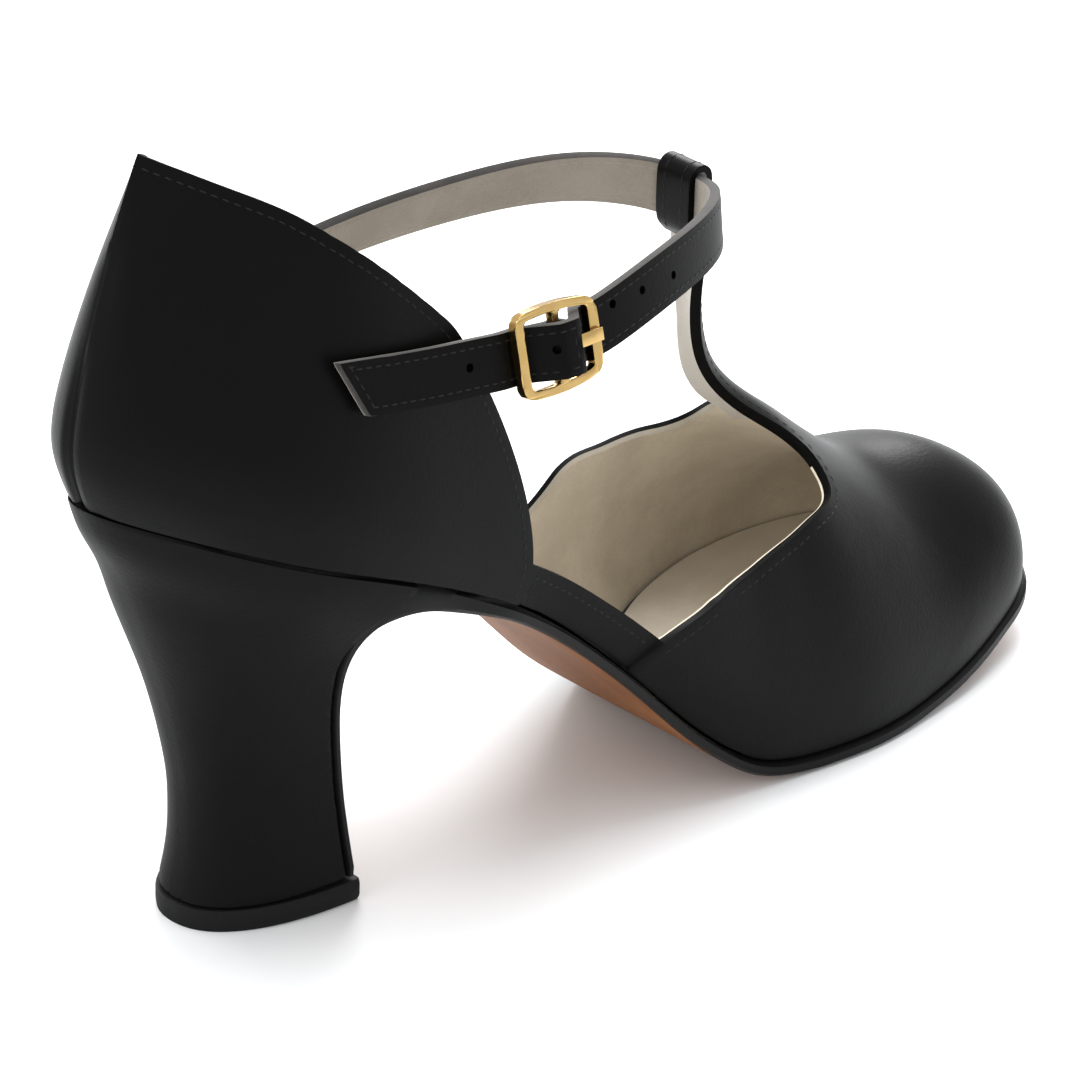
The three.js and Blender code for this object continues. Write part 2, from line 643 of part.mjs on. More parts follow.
function outsoleSolid() {
  const corner = (line, j) => {
    const plan = j === 0 ? line[INNER] : line[OUTER];
    return new THREE.Vector3(plan.x, plan.y, line.z);
  };
  return wallSolid({
    columns: soleRun.length - 1,
    rows: 1,
    loop: false,
    has: () => true,
    outer: (i, j) => corner(soleRun[i].high, j),
    inner: (i, j) => corner(soleRun[i].low, j),
  });
}

// The heel's back edge: height as a share of the seat height, distance as a share of the length.
const HEEL_BACK = [
  { up: 0.0527, back: 0.1045 },
  { up: 0.086, back: 0.108 },
  { up: 0.172, back: 0.1125 },
  { up: 0.263, back: 0.1125 },
  { up: 0.355, back: 0.1075 },
  { up: 0.458, back: 0.0985 },
  { up: 0.549, back: 0.0885 },
  { up: 0.637, back: 0.0757 },
  { up: 0.723, back: 0.0633 },
  { up: 0.815, back: 0.0505 },
  { up: 0.931, back: 0.0238 },
  { up: 1.0, back: 0.0145 },
];
const HEEL_ROWS = 18;
const HEEL_CELLS = 16;
const HEEL_BLUNT = 0.0012;
const HEEL_TOP_END = 0.2215;
const SEAT_BLEND = 0.3;

const heelBack = curveThrough(HEEL_BACK, 'up', 'back');
const flapLine = soleRun.slice(SOLE_CELLS + 3).map((station) => ({
  up: station.high.z / SEAT_HEIGHT,
  forward: station.high[OUTER].x,
  half: -station.high[OUTER].y,
})).reverse();
const flapForward = curveThrough(flapLine, 'up', 'forward');
const flapHalf = curveThrough(flapLine, 'up', 'half');

const roundBack = (a) => (1 - (1 - a) ** HEEL_ROUNDNESS) ** (1 / HEEL_ROUNDNESS);

// A point of the heel's plain form and the point of the seat above it: t runs down from the
// seat to the wearing plate, a from the heel's back to its front.
function heelForms(side, t, a) {
  const foot = TOP_PIECE_HEIGHT + FIT;
  const seatEnd = featherHeight(HEEL_TOP_END) - FIT;
  const backHeight = lerp(featherHeight(0) - FIT, foot, t);
  const frontHeight = lerp(seatEnd, foot, t);
  const back = heelBack(backHeight / SEAT_HEIGHT) * SOLE_LENGTH;
  const front = flapForward(frontHeight / SEAT_HEIGHT) - FIT;
  const half = flapHalf(frontHeight / SEAT_HEIGHT);
  const free = new THREE.Vector3(
    lerp(back, front, a),
    side * half * roundBack(a),
    lerp(backHeight, frontHeight, a),
  );
  const share = HEEL_TOP_END * a;
  const plan = featherPlan(side, share);
  const seat = new THREE.Vector3(plan.x, plan.y, featherHeight(share) - FIT);
  return { free, seat };
}

// The plain form is drawn out to the seat's own outline near its top.
function heelPoint(side, t, a) {
  const top = heelForms(side, 0, a);
  const draw = top.seat.sub(top.free).multiplyScalar(1 - smoothstep(t, 0, SEAT_BLEND));
  return heelForms(side, t, a).free.add(draw);
}

function heelSolid() {
  const across = (i) => lerp(HEEL_BLUNT, 1, 1 - Math.cos(((i / HEEL_CELLS) * Math.PI) / 2));
  const down = (j) => (j / HEEL_ROWS) ** 1.2;
  return wallSolid({
    columns: HEEL_CELLS,
    rows: HEEL_ROWS,
    loop: false,
    has: () => true,
    outer: (i, j) => heelPoint(INNER, down(j), across(i)),
    inner: (i, j) => heelPoint(OUTER, down(j), across(i)),
  });
}

// The wearing plate under the heel, a little larger than the heel's foot and its flap.
function topPieceSolid() {
  const foot = heelPoint(OUTER, 1, HEEL_BLUNT);
  const start = foot.x - TOP_PIECE_MARGIN;
  const end = soleRun[soleRun.length - 1].low[OUTER].x + TOP_PIECE_MARGIN;
  const half = flapHalf(0) + TOP_PIECE_MARGIN;
  const point = (side, i, j) => {
    const a = lerp(HEEL_BLUNT, 1, 1 - Math.cos(((i / HEEL_CELLS) * Math.PI) / 2));
    return new THREE.Vector3(lerp(start, end, a), side * half * roundBack(a), TOP_PIECE_HEIGHT * (1 - j));
  };
  return wallSolid({
    columns: HEEL_CELLS,
    rows: 1,
    loop: false,
    has: () => true,
    outer: (i, j) => point(INNER, i, j),
    inner: (i, j) => point(OUTER, i, j),
  });
}

// The insole lies inside the upper's wall on the sole and the heel.
const INSOLE_CELLS = 44;
const INSOLE_GAP = 0.5;

function insoleSolid() {
  const inset = WALL + INSOLE_GAP;
  const point = (i, j, lift) => {
    const side = j === 0 ? INNER : OUTER;
    const turn = lerp(0.045, Math.PI - 0.045, i / INSOLE_CELLS);
    const share = (1 + Math.cos(turn)) / 2;
    const before = featherPlan(side, Math.min(share + 0.001, 1));
    const after = featherPlan(side, Math.max(share - 0.001, 0));
    const along = before.sub(after).normalize();
    const inward = new THREE.Vector2(along.y * side, -along.x * side);
    const plan = featherPlan(side, share).addScaledVector(inward, inset);
    const ground = featherHeight(clamp((plan.x - BACK_OVERHANG) / SOLE_LENGTH, 0, 1));
    return new THREE.Vector3(plan.x, plan.y, ground + lift);
  };
  return wallSolid({
    columns: INSOLE_CELLS,
    rows: 1,
    loop: false,
    has: () => true,
    outer: (i, j) => point(i, j, INSOLE_THICKNESS),
    inner: (i, j) => point(i, j, 0),
  });
}

// Buckle: a flat frame with a centre bar, its tongue and the tab that holds it to the quarter.
// It is built round the centre bar and then leans with the strap.
const BUCKLE_PLACE = { forward: 0.351, across: -0.478, up: 1.027 };
const BUCKLE_LEAN = 14;
const FRAME_REACH = 8.7;
const FRAME_TALL = 13.8;
const FRAME_SHORT = 12.4;
const FRAME_CORNER = 2.6;
const FRAME_WIRE = 2;
const FRAME_RAIL = 1.5;
const FRAME_DEPTH = 1.8;
const BAR_WIRE = 1.4;
const RING_FIT = 0.12;
const TAB_WALL = 0.9;
const TAB_HEIGHT = 8;
const TAB_LENGTH = 20;
const RING_SEGMENTS = 20;
const PRONG_HEIGHT = 2.2;
const PRONG_RING = 0.8;
const PRONG_THICKNESS = 0.8;
const PRONG_REACH = 8.5;
const PRONG_FIT = 0.2;
const SLOT_MARGIN = 0.4;

const BAR_RADIUS = Math.hypot(BAR_WIRE, FRAME_DEPTH) / 2 + RING_FIT;
const STRAP_UNDER = FRAME_DEPTH / 2 + FIT + STRAP_THICKNESS / 2;
const STRAP_OVER = BAR_RADIUS + TAB_WALL + FIT + STRAP_THICKNESS / 2;

const buckleMiddle = new THREE.Vector3(
  BUCKLE_PLACE.forward * GIRTH_LENGTH,
  BUCKLE_PLACE.across * BALL_WIDTH,
  BUCKLE_PLACE.up * LOOP_HEIGHT,
);
const buckleTurn = THREE.MathUtils.degToRad(-BUCKLE_LEAN);

// The ankle strap's middle line from the inner quarter round the ankle to the buckle, and from
// the buckle to its free end: shares of the length, the ball width and the loop height, and its
// lean in degrees.
const STRAP_AROUND = [
  { forward: 0.275, across: 0.415, up: 0.972, lean: 16 },
  { forward: 0.315, across: 0.428, up: 0.98, lean: 18 },
  { forward: 0.355, across: 0.437, up: 0.988, lean: 20 },
  { forward: 0.41, across: 0.435, up: 0.996, lean: 20 },
  { forward: 0.47, across: 0.41, up: 1.005, lean: 20 },
  { forward: 0.53, across: 0.365, up: 1.014, lean: 18 },
  { forward: 0.578, across: 0.3, up: 1.018, lean: 14 },
  { forward: 0.612, across: 0.215, up: 1.014, lean: 8 },
  { forward: 0.6355, across: 0.13, up: 1.004, lean: 2 },
  { forward: 0.6365, across: 0.053, up: 1.0, lean: 0 },
  { forward: 0.6355, across: -0.024, up: 1.003, lean: 0 },
  { forward: 0.62, across: -0.125, up: 1.02, lean: 3 },
  { forward: 0.592, across: -0.22, up: 1.036, lean: 6 },
  { forward: 0.55, across: -0.31, up: 1.045, lean: 10 },
  { forward: 0.49, across: -0.387, up: 1.048, lean: 13 },
  { forward: 0.44, across: -0.43, up: 1.038, lean: 14 },
];
const STRAP_END = [
  { forward: 0.28, across: -0.446, up: 1.029, lean: 14 },
  { forward: 0.24, across: -0.444, up: 1.037, lean: 14 },
  { forward: 0.2, across: -0.439, up: 1.049, lean: 14 },
  { forward: 0.161, across: -0.432, up: 1.061, lean: 14 },
];

// Its path through the buckle: shares of the frame's reach from the centre bar, and 0 for under
// the frame, 1 for over the bar.
const STRAP_BUCKLED = [
  { ahead: 1.2, lift: 0 },
  { ahead: 0.7, lift: 0 },
  { ahead: 0.53, lift: 0.33 },
  { ahead: 0.185, lift: 1 },
  { ahead: -0.185, lift: 1 },
  { ahead: -0.71, lift: 0 },
  { ahead: -1.2, lift: 0 },
];
const PRONG_HOLE = 2;
const STRAP_ROWS = 3;
const FREE_END_SLANT = 6;

// The strap's stations: its middle, its outward direction in plan and its lean.
const strapMiddle = (row) => {
  return new THREE.Vector3(row.forward * GIRTH_LENGTH, row.across * BALL_WIDTH, row.up * LOOP_HEIGHT);
};
const outerSideward = new THREE.Vector3(0, -1, 0);
const strapRun = [
  ...STRAP_AROUND.map((row, i) => {
    const before = strapMiddle(STRAP_AROUND[Math.max(i - 1, 0)]);
    const after = strapMiddle(STRAP_AROUND[Math.min(i + 1, STRAP_AROUND.length - 1)]);
    const out = new THREE.Vector3(before.y - after.y, after.x - before.x, 0).normalize();
    return { middle: strapMiddle(row), out, lean: row.lean };
  }),
  ...STRAP_BUCKLED.map((row) => {
    const lift = lerp(-STRAP_UNDER, STRAP_OVER, row.lift);
    const local = new THREE.Vector3(row.ahead * FRAME_REACH, -lift, 0);
    local.applyAxisAngle(new THREE.Vector3(1, 0, 0), buckleTurn);
    return { middle: local.add(buckleMiddle), out: outerSideward, lean: BUCKLE_LEAN };
  }),
  ...STRAP_END.map((row) => ({ middle: strapMiddle(row), out: outerSideward, lean: row.lean })),
];

// A point of the strap: station i, row j from its lower to its upper edge, depth outwards.
function strapPoint(i, j, depth) {
  const { middle, out, lean } = strapRun[i];
  const last = strapRun.length - 1;
  const before = strapRun[Math.max(i - 1, 0)].middle.clone().sub(middle);
  const after = strapRun[Math.min(i + 1, last)].middle.clone().sub(middle);
  const along = after.clone().normalize().sub(before.clone().normalize()).normalize();
  const tilt = THREE.MathUtils.degToRad(lean);
  const up = new THREE.Vector3(0, 0, Math.cos(tilt)).addScaledVector(out, -Math.sin(tilt));
  up.addScaledVector(along, -up.dot(along)).normalize();
  const face = up.clone().cross(along).normalize();
  const bend = i > 0 && i < last ? before.angleTo(after) : Math.PI;
  const height = (j / STRAP_ROWS - 0.5) * STRAP_WIDTH;
  const slant = i === last ? (FREE_END_SLANT * height) / STRAP_WIDTH : 0;
  const point = middle.clone().addScaledVector(up, height).addScaledVector(along, slant);
  return point.addScaledVector(face, depth / Math.sin(bend / 2));
}

function strapSolid() {
  return wallSolid({
    columns: strapRun.length - 1,
    rows: STRAP_ROWS,
    loop: false,
    has: (i, j) => i !== STRAP_AROUND.length + PRONG_HOLE || j !== 1,
    outer: (i, j) => strapPoint(i, j, -STRAP_THICKNESS / 2),
    inner: (i, j) => strapPoint(i, j, STRAP_THICKNESS / 2),
  });
}

// Turns a piece drawn in plan and pulled up along Z into its place at the buckle.
function atBuckle(geometry) {
  geometry.rotateX(buckleTurn);
  return geometry.translate(buckleMiddle.x, buckleMiddle.y, buckleMiddle.z);
}

// A rounded four-sided outline that is taller at its rear than at its front.
function taperedOutline(rear, front, tall, short, corner) {
  const outline = new THREE.Path();
  const heightAt = (x) => lerp(tall, short, (x - rear) / (front - rear)) / 2;
  outline.moveTo(rear + corner, heightAt(rear + corner));
  outline.lineTo(front - corner, heightAt(front - corner));
  outline.quadraticCurveTo(front, heightAt(front), front, heightAt(front) - corner);
  outline.lineTo(front, corner - heightAt(front));
  outline.quadraticCurveTo(front, -heightAt(front), front - corner, -heightAt(front - corner));
  outline.lineTo(rear + corner, -heightAt(rear + corner));
  outline.quadraticCurveTo(rear, -heightAt(rear), rear, corner - heightAt(rear));
  outline.lineTo(rear, heightAt(rear) - corner);
  outline.quadraticCurveTo(rear, heightAt(rear), rear + corner, heightAt(rear + corner));
  return outline;
}

function frameSolid() {
  const rim = taperedOutline(-FRAME_REACH, FRAME_REACH, FRAME_TALL, FRAME_SHORT, FRAME_CORNER);
  const outline = new THREE.Shape(rim.getPoints(6));
  const heightAt = (x) => lerp(FRAME_TALL, FRAME_SHORT, (x / FRAME_REACH + 1) / 2);
  const window = (rear, front) => {
    const tall = heightAt(rear) - 2 * FRAME_RAIL;
    const short = heightAt(front) - 2 * FRAME_RAIL;
    const opening = taperedOutline(rear, front, tall, short, FRAME_CORNER / 3);
    return new THREE.Path(opening.getPoints(4).reverse());
  };
  outline.holes.push(window(FRAME_WIRE - FRAME_REACH, -BAR_WIRE / 2));
  outline.holes.push(window(BAR_WIRE / 2, FRAME_REACH - FRAME_WIRE));
  const settings = { depth: FRAME_DEPTH, bevelEnabled: false, curveSegments: 6 };
  const geometry = new THREE.ExtrudeGeometry(outline, settings);
  geometry.translate(0, 0, -FRAME_DEPTH / 2);
  geometry.rotateX(Math.PI / 2);
  return atBuckle(geometry);
}

// A ring round the centre bar with a tail to one side, drawn in plan and pulled up along Z.
function ringWithTail(inner, outer, tail, height) {
  const shape = new THREE.Shape();
  tail.forEach((point, k) => {
    if (k === 0) shape.moveTo(point.x, point.y);
    else shape.lineTo(point.x, point.y);
  });
  const first = tail[0];
  const last = tail[tail.length - 1];
  const from = Math.atan2(last.y, last.x);
  let to = Math.atan2(first.y, first.x);
  if (to >= from) to -= 2 * Math.PI;
  for (let k = 1; k < RING_SEGMENTS; k += 1) {
    const angle = lerp(from, to, k / RING_SEGMENTS);
    shape.lineTo(outer * Math.cos(angle), outer * Math.sin(angle));
  }
  const hole = new THREE.Path();
  hole.absarc(0, 0, inner, 0, 2 * Math.PI, false);
  shape.holes.push(hole);
  const settings = { depth: height, bevelEnabled: false, curveSegments: 10 };
  const geometry = new THREE.ExtrudeGeometry(shape, settings);
  geometry.translate(0, 0, -height / 2);
  return geometry;
}

function onRing(radius, degrees) {
  const angle = THREE.MathUtils.degToRad(degrees);
  return new THREE.Vector2(radius * Math.cos(angle), radius * Math.sin(angle));
}

function prongSolid() {
  const outer = BAR_RADIUS + PRONG_RING;
  const low = FRAME_DEPTH / 2 + PRONG_FIT;
  const high = low + PRONG_THICKNESS;
  const tail = [
    onRing(outer, -20),
    new THREE.Vector2(PRONG_REACH * 0.55, -low),
    new THREE.Vector2(PRONG_REACH, -low),
    new THREE.Vector2(PRONG_REACH, -high),
    new THREE.Vector2(PRONG_REACH * 0.55, -high - PRONG_FIT),
    onRing(outer, -75),
  ];
  return atBuckle(ringWithTail(BAR_RADIUS, outer, tail, PRONG_HEIGHT));
}

function tabSolid() {
  const outer = BAR_RADIUS + TAB_WALL;
  const near = STRAP_UNDER + STRAP_THICKNESS / 2 + FIT;
  const far = near + TAB_WALL;
  const tail = [
    onRing(outer, 160),
    new THREE.Vector2(-TAB_LENGTH * 0.16, near * 0.75),
    new THREE.Vector2(-TAB_LENGTH * 0.26, near),
    new THREE.Vector2(-TAB_LENGTH, near),
    new THREE.Vector2(-TAB_LENGTH, far),
    new THREE.Vector2(-TAB_LENGTH * 0.26, far),
    new THREE.Vector2(-TAB_LENGTH * 0.13, far * 0.78),
    onRing(outer, 110),
  ];
  const tab = atBuckle(ringWithTail(BAR_RADIUS, outer, tail, TAB_HEIGHT));
  const reach = 2 * (outer + SLOT_MARGIN);
  const slot = atBuckle(new THREE.BoxGeometry(reach, reach, PRONG_HEIGHT + 2 * SLOT_MARGIN));
  return cut(tab, slot);
}

function toManifold(geometry) {
  const bare = new THREE.BufferGeometry();
  bare.setAttribute('position', geometry.getAttribute('position'));
  if (geometry.index) bare.setIndex(geometry.index);
  const merged = mergeVertices(bare, 1e-4);
  return new wasm.Manifold(new wasm.Mesh({
    numProp: 3,
    vertProperties: new Float32Array(merged.getAttribute('position').array),
    triVerts: new Uint32Array(merged.index.array),
  }));
}

function cut(geometry, tool) {
  const result = toManifold(geometry).subtract(toManifold(tool)).getMesh();
  const out = new THREE.BufferGeometry();
  out.setAttribute('position', new THREE.BufferAttribute(new Float32Array(result.vertProperties), 3));
  out.setIndex(Array.from(result.triVerts));
  out.computeVertexNormals();
  return out;
}

function piece(name, geometry, color, roughness, metalness = 0) {
  const material = new THREE.MeshStandardMaterial({ color, roughness, metalness });
  const mesh = new THREE.Mesh(geometry, material);
  mesh.name = name;
  return mesh;
}

const BLACK = 0x141414;
const TAN = 0xb98d68;
const BEIGE = 0xb5a995;
const GOLD = 0xb8975a;

const shoe = new THREE.Group();
shoe.add(
  piece('outsole', outsoleSolid(), TAN, 0.6),
  piece('heel', heelSolid(), BLACK, 0.45),
  piece('top_piece', topPieceSolid(), BLACK, 0.7),
  piece('upper', upperSolid(), BLACK, 0.45),
  piece('insole', insoleSolid(), BEIGE, 0.9),
  piece('ankle_strap', strapSolid(), BLACK, 0.45),
  piece('buckle_tab', tabSolid(), BLACK, 0.5),
  piece('buckle_frame', frameSolid(), GOLD, 0.3, 1),
  piece('prong', prongSolid(), GOLD, 0.3, 1),
);

// The finished shoe stands with its middle over the origin.
const size = new THREE.Box3().setFromObject(shoe);
const middle = size.getCenter(new THREE.Vector3());
shoe.children.forEach((mesh) => mesh.geometry.translate(-middle.x, -middle.y, -size.min.z));

export default shoe;
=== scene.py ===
# %% [markdown]
# # A T-strap character shoe, dressed in Blender
#
# This lesson takes the solids of one right shoe, packed in another program, and gives them
# the looks of the real one: satin black leather, a greige suede lining, a tan leather sole and
# a brass buckle. Each step says what the piece is on the real shoe, how it could be made, and
# why this way was chosen. All lengths are in metres unless a name ends in `_mm`.

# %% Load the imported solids
import json
import math

import bmesh
import bpy
from mathutils import Matrix, Vector
from mathutils.bvhtree import BVHTree
from mathutils.kdtree import KDTree

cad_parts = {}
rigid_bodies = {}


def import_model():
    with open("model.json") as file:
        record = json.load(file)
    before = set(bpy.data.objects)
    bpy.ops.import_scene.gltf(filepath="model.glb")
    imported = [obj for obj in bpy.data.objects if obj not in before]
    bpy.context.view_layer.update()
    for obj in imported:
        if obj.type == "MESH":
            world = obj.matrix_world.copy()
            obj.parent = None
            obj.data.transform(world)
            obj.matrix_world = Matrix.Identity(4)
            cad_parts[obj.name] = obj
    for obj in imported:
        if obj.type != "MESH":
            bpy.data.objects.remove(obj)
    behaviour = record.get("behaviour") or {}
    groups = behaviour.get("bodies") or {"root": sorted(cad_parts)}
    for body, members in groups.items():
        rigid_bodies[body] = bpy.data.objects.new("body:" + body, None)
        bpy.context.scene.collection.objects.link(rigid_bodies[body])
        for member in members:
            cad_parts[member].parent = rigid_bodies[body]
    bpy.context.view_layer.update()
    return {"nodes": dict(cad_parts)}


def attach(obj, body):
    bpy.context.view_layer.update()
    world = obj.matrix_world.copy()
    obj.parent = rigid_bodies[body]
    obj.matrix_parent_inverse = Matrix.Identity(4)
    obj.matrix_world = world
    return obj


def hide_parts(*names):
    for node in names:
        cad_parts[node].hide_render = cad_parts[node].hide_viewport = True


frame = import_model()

MM = 0.001
print("solids in the frame:", ", ".join(sorted(frame["nodes"])))

# %% [markdown]
# ## Picking and copying
#
# Operators act on everything that is selected, and the loader leaves its solids selected. So
# one helper clears the selection and picks a single piece. A solid comes in as loose triangles:
# its copy is merged at its corners, and pairs of triangles become four-sided faces again, which
# a subdivision surface needs for an even skin.


# %% Helpers that pick and copy
def pick(piece):
    """Makes one piece the only selected and the active one."""
    bpy.ops.object.select_all(action="DESELECT")
    piece.select_set(True)
    bpy.context.view_layer.objects.active = piece


def copy_of(node, name):
    """A merged copy of a solid, in four-sided faces, to be shaped and finished."""
    piece = bpy.data.objects.new(name, frame["nodes"][node].data.copy())
    bpy.context.collection.objects.link(piece)
    piece.data.materials.clear()
    pick(piece)
    bpy.ops.mesh.customdata_custom_splitnormals_clear()
    bpy.ops.object.mode_set(mode="EDIT")
    bpy.ops.mesh.select_all(action="SELECT")
    bpy.ops.mesh.remove_doubles(threshold=0.002 * MM)
    bpy.ops.mesh.select_mode(type="EDGE")
    bpy.ops.mesh.select_all(action="DESELECT")
    bpy.ops.mesh.edges_select_sharp(sharpness=math.radians(40))
    bpy.ops.mesh.mark_sharp()
    bpy.ops.mesh.select_all(action="SELECT")
    bpy.ops.mesh.tris_convert_to_quads(
        face_threshold=math.radians(50), shape_threshold=math.radians(170), sharp=True
    )
    bpy.ops.mesh.mark_sharp(clear=True)
    bpy.ops.object.mode_set(mode="OBJECT")
    print(name, "copied with", len(piece.data.polygons), "faces")
    return piece


def drop_slivers(piece, height):
    """Joins each face lower than a height to its neighbour across its longest edge."""
    shape = piece.data

    def length(edge):
        first, second = (shape.vertices[n].co for n in edge.vertices)
        return (first - second).length

    longest = []
    for face in shape.polygons:
        edge = max((shape.edges[shape.loops[n].edge_index] for n in face.loop_indices), key=length)
        if 2 * face.area / length(edge) < height:
            longest.append(edge.index)
    pick(piece)
    bpy.ops.object.mode_set(mode="EDIT")
    bpy.ops.mesh.select_mode(type="EDGE")
    bpy.ops.mesh.select_all(action="DESELECT")
    bpy.ops.object.mode_set(mode="OBJECT")
    for number in longest:
        shape.edges[number].select = True
    bpy.ops.object.mode_set(mode="EDIT")
    bpy.ops.mesh.dissolve_edges(use_verts=False)
    bpy.ops.object.mode_set(mode="OBJECT")
    print(piece.name, "lost", len(longest), "slivers")


# %% [markdown]
# ## Smoothing with kept edges
#
# A subdivision surface rounds everything, but a folded topline or a painted sole edge is crisp.
# Creases on the sharp edges hold them. The crease is a number from 0, fully round, to 1, a
# knife edge, and each piece has its own.


# %% Helpers that smooth and bevel
def apply_modifier(piece, kind, **settings):
    """Adds one modifier, sets it up and applies it."""
    made = piece.modifiers.new(kind, kind)
    for name, value in settings.items():
        setattr(made, name, value)
    pick(piece)
    bpy.ops.object.modifier_apply(modifier=made.name)


def crease_sharp(piece, angle, crease):
    """Creases the edges that turn by more than an angle in degrees."""
    pick(piece)
    bpy.ops.object.mode_set(mode="EDIT")
    bpy.ops.mesh.select_mode(type="EDGE")
    bpy.ops.mesh.select_all(action="DESELECT")
    bpy.ops.mesh.edges_select_sharp(sharpness=math.radians(angle))
    bpy.ops.transform.edge_crease(value=crease)
    bpy.ops.mesh.select_all(action="DESELECT")
    bpy.ops.object.mode_set(mode="OBJECT")


def smooth(piece, levels, angle, crease):
    """Subdivides a piece with its sharp edges held, and shades it smooth."""
    crease_sharp(piece, angle, crease)
    apply_modifier(piece, "SUBSURF", levels=levels, render_levels=levels)
    pick(piece)
    bpy.ops.object.shade_smooth_by_angle(angle=math.radians(45))
    print(piece.name, "has", len(piece.data.polygons), "faces")


# %% [markdown]
# ## Skins
#
# The upper and the strap are walls with an outer skin, an inner skin and a rim between them, in
# different leathers. A rim turns sharply from both skins, so a flood that starts on one face
# and stops at sharp edges picks exactly one skin. The seeds are places near the skin, and the
# nearest face that looks towards the place is taken.

# %% Helpers that find a skin
LOOKS_TOWARDS = 0.6


def seed_face(piece, place):
    """The face nearest to a place, of those that look towards it."""
    place = Vector(place)

    def distance(face):
        away = place - face.center
        towards = away.dot(face.normal) > LOOKS_TOWARDS * away.length
        return away.length if towards else math.inf

    return min(piece.data.polygons, key=distance).index


def skin_faces(piece, places, sharpness=45):
    """Floods from the seeds over flat edges, and returns the numbers of the faces reached."""
    seeds = [seed_face(piece, place) for place in places]
    pick(piece)
    bpy.ops.object.mode_set(mode="EDIT")
    bpy.ops.mesh.select_mode(type="FACE")
    bpy.ops.mesh.select_all(action="DESELECT")
    bpy.ops.object.mode_set(mode="OBJECT")
    for seed in seeds:
        piece.data.polygons[seed].select = True
    bpy.ops.object.mode_set(mode="EDIT")
    bpy.ops.mesh.faces_select_linked_flat(sharpness=math.radians(sharpness))
    bpy.ops.object.mode_set(mode="OBJECT")
    return {face.index for face in piece.data.polygons if face.select}


def give_slot(piece, faces, slot):
    """Puts faces, by number, in one of the piece's material slots."""
    for number in faces:
        piece.data.polygons[number].material_index = slot
    print(piece.name, "slot", slot, "has", len(faces), "faces")


def split_rim(piece, skin_slot, rim_slot, rings, slot, chosen):
    """Gives the chosen rim faces beyond some rings from a skin a slot of their own."""
    pick(piece)
    for face in piece.data.polygons:
        face.select = face.material_index == skin_slot
    bpy.ops.object.mode_set(mode="EDIT")
    bpy.ops.mesh.select_mode(type="FACE")
    for _ in range(rings):
        bpy.ops.mesh.select_more(use_face_step=False)
    bpy.ops.object.mode_set(mode="OBJECT")
    rim = [face for face in piece.data.polygons if face.material_index == rim_slot]
    far = [face.index for face in rim if not face.select and chosen(face)]
    give_slot(piece, far, slot)


# %% [markdown]
# ## Writing finishes as sums
#
# A finish is a tree of nodes. This small class holds one output of the tree, and Python's own
# arithmetic on it adds the Math nodes, so `1 - mask` reads as it would on paper. Any other
# node comes from `node`, which takes its settings first and then its sockets.


# %% The class that writes finishes
class Flow:
    """One output in a finish's node tree."""

    def __init__(self, tree, socket=None):
        self.tree = tree
        self.socket = socket

    def node(self, kind, settings=None, sockets=None, out=0):
        """Adds any node: its settings first, then the values or links of its sockets."""
        made = self.tree.nodes.new(kind)
        for name, value in (settings or {}).items():
            setattr(made, name, value)
        for name, value in (sockets or {}).items():
            if isinstance(value, Flow):
                self.tree.links.new(value.socket, made.inputs[name])
            else:
                made.inputs[name].default_value = value
        return Flow(self.tree, made.outputs[out] if made.outputs else None)

    def maths(self, operation, first, second):
        return self.node("ShaderNodeMath", {"operation": operation}, {0: first, 1: second})

    def __add__(self, other):
        return self.maths("ADD", self, other)

    __radd__ = __add__

    def __sub__(self, other):
        return self.maths("SUBTRACT", self, other)

    def __rsub__(self, other):
        return self.maths("SUBTRACT", other, self)

    def __mul__(self, other):
        return self.maths("MULTIPLY", self, other)

    __rmul__ = __mul__


def noise(flow, place, size_mm, detail=2.0, roughness=0.5):
    """Soft noise from 0 to 1 whose blots are about one size."""
    sockets = {"Vector": place, "Scale": 1000 / size_mm, "Detail": detail, "Roughness": roughness}
    return flow.node("ShaderNodeTexNoise", None, sockets)


def cells(flow, place, size_mm):
    """The distance to the middle of the nearest cell, as pebbles or pores."""
    sockets = {"Vector": place, "Scale": 1000 / size_mm, "Randomness": 1.0}
    return flow.node("ShaderNodeTexVoronoi", {"feature": "F1"}, sockets, out="Distance")


def step_up(flow, value, low, high):
    """0 below one value, 1 above the other, smooth between."""
    settings = {"interpolation_type": "SMOOTHSTEP"}
    return flow.node("ShaderNodeMapRange", settings, {0: value, 1: low, 2: high})


def blend(flow, share, first, second):
    """Two colours or links mixed by a share."""
    sockets = {0: share, 6: first, 7: second}
    return flow.node("ShaderNodeMix", {"data_type": "RGBA"}, sockets, out=2)


def relief(flow, height, depth_mm):
    """A bump whose height runs from 0 to 1 over a real depth."""
    sockets = {"Height": height, "Distance": depth_mm * MM, "Strength": 1.0}
    return flow.node("ShaderNodeBump", None, sockets)


def new_finish(name):
    """An empty finish, with the flow that writes it and its object coordinates."""
    material = bpy.data.materials.new(name)
    material.use_nodes = True
    material.node_tree.nodes.clear()
    flow = Flow(material.node_tree)
    return material, flow, flow.node("ShaderNodeTexCoord", out="Object")


def close_finish(flow, sockets):
    """The surface itself, joined to the output."""
    surface = flow.node("ShaderNodeBsdfPrincipled", None, sockets)
    flow.node("ShaderNodeOutputMaterial", None, {"Surface": surface})


# %% [markdown]
# ## Black leather
#
# The upper is smooth dyed calf: nearly plain, with pores well under a millimetre, faint broad
# creases and a satin top coat. A flat black would look like plastic. So the grain is a low bump
# of pebbled cells with finer noise, the gloss wanders a little, and a thin rough coat gives the
# broad sheen. The heel cover is the same leather pulled tighter, the strap is a little duller.


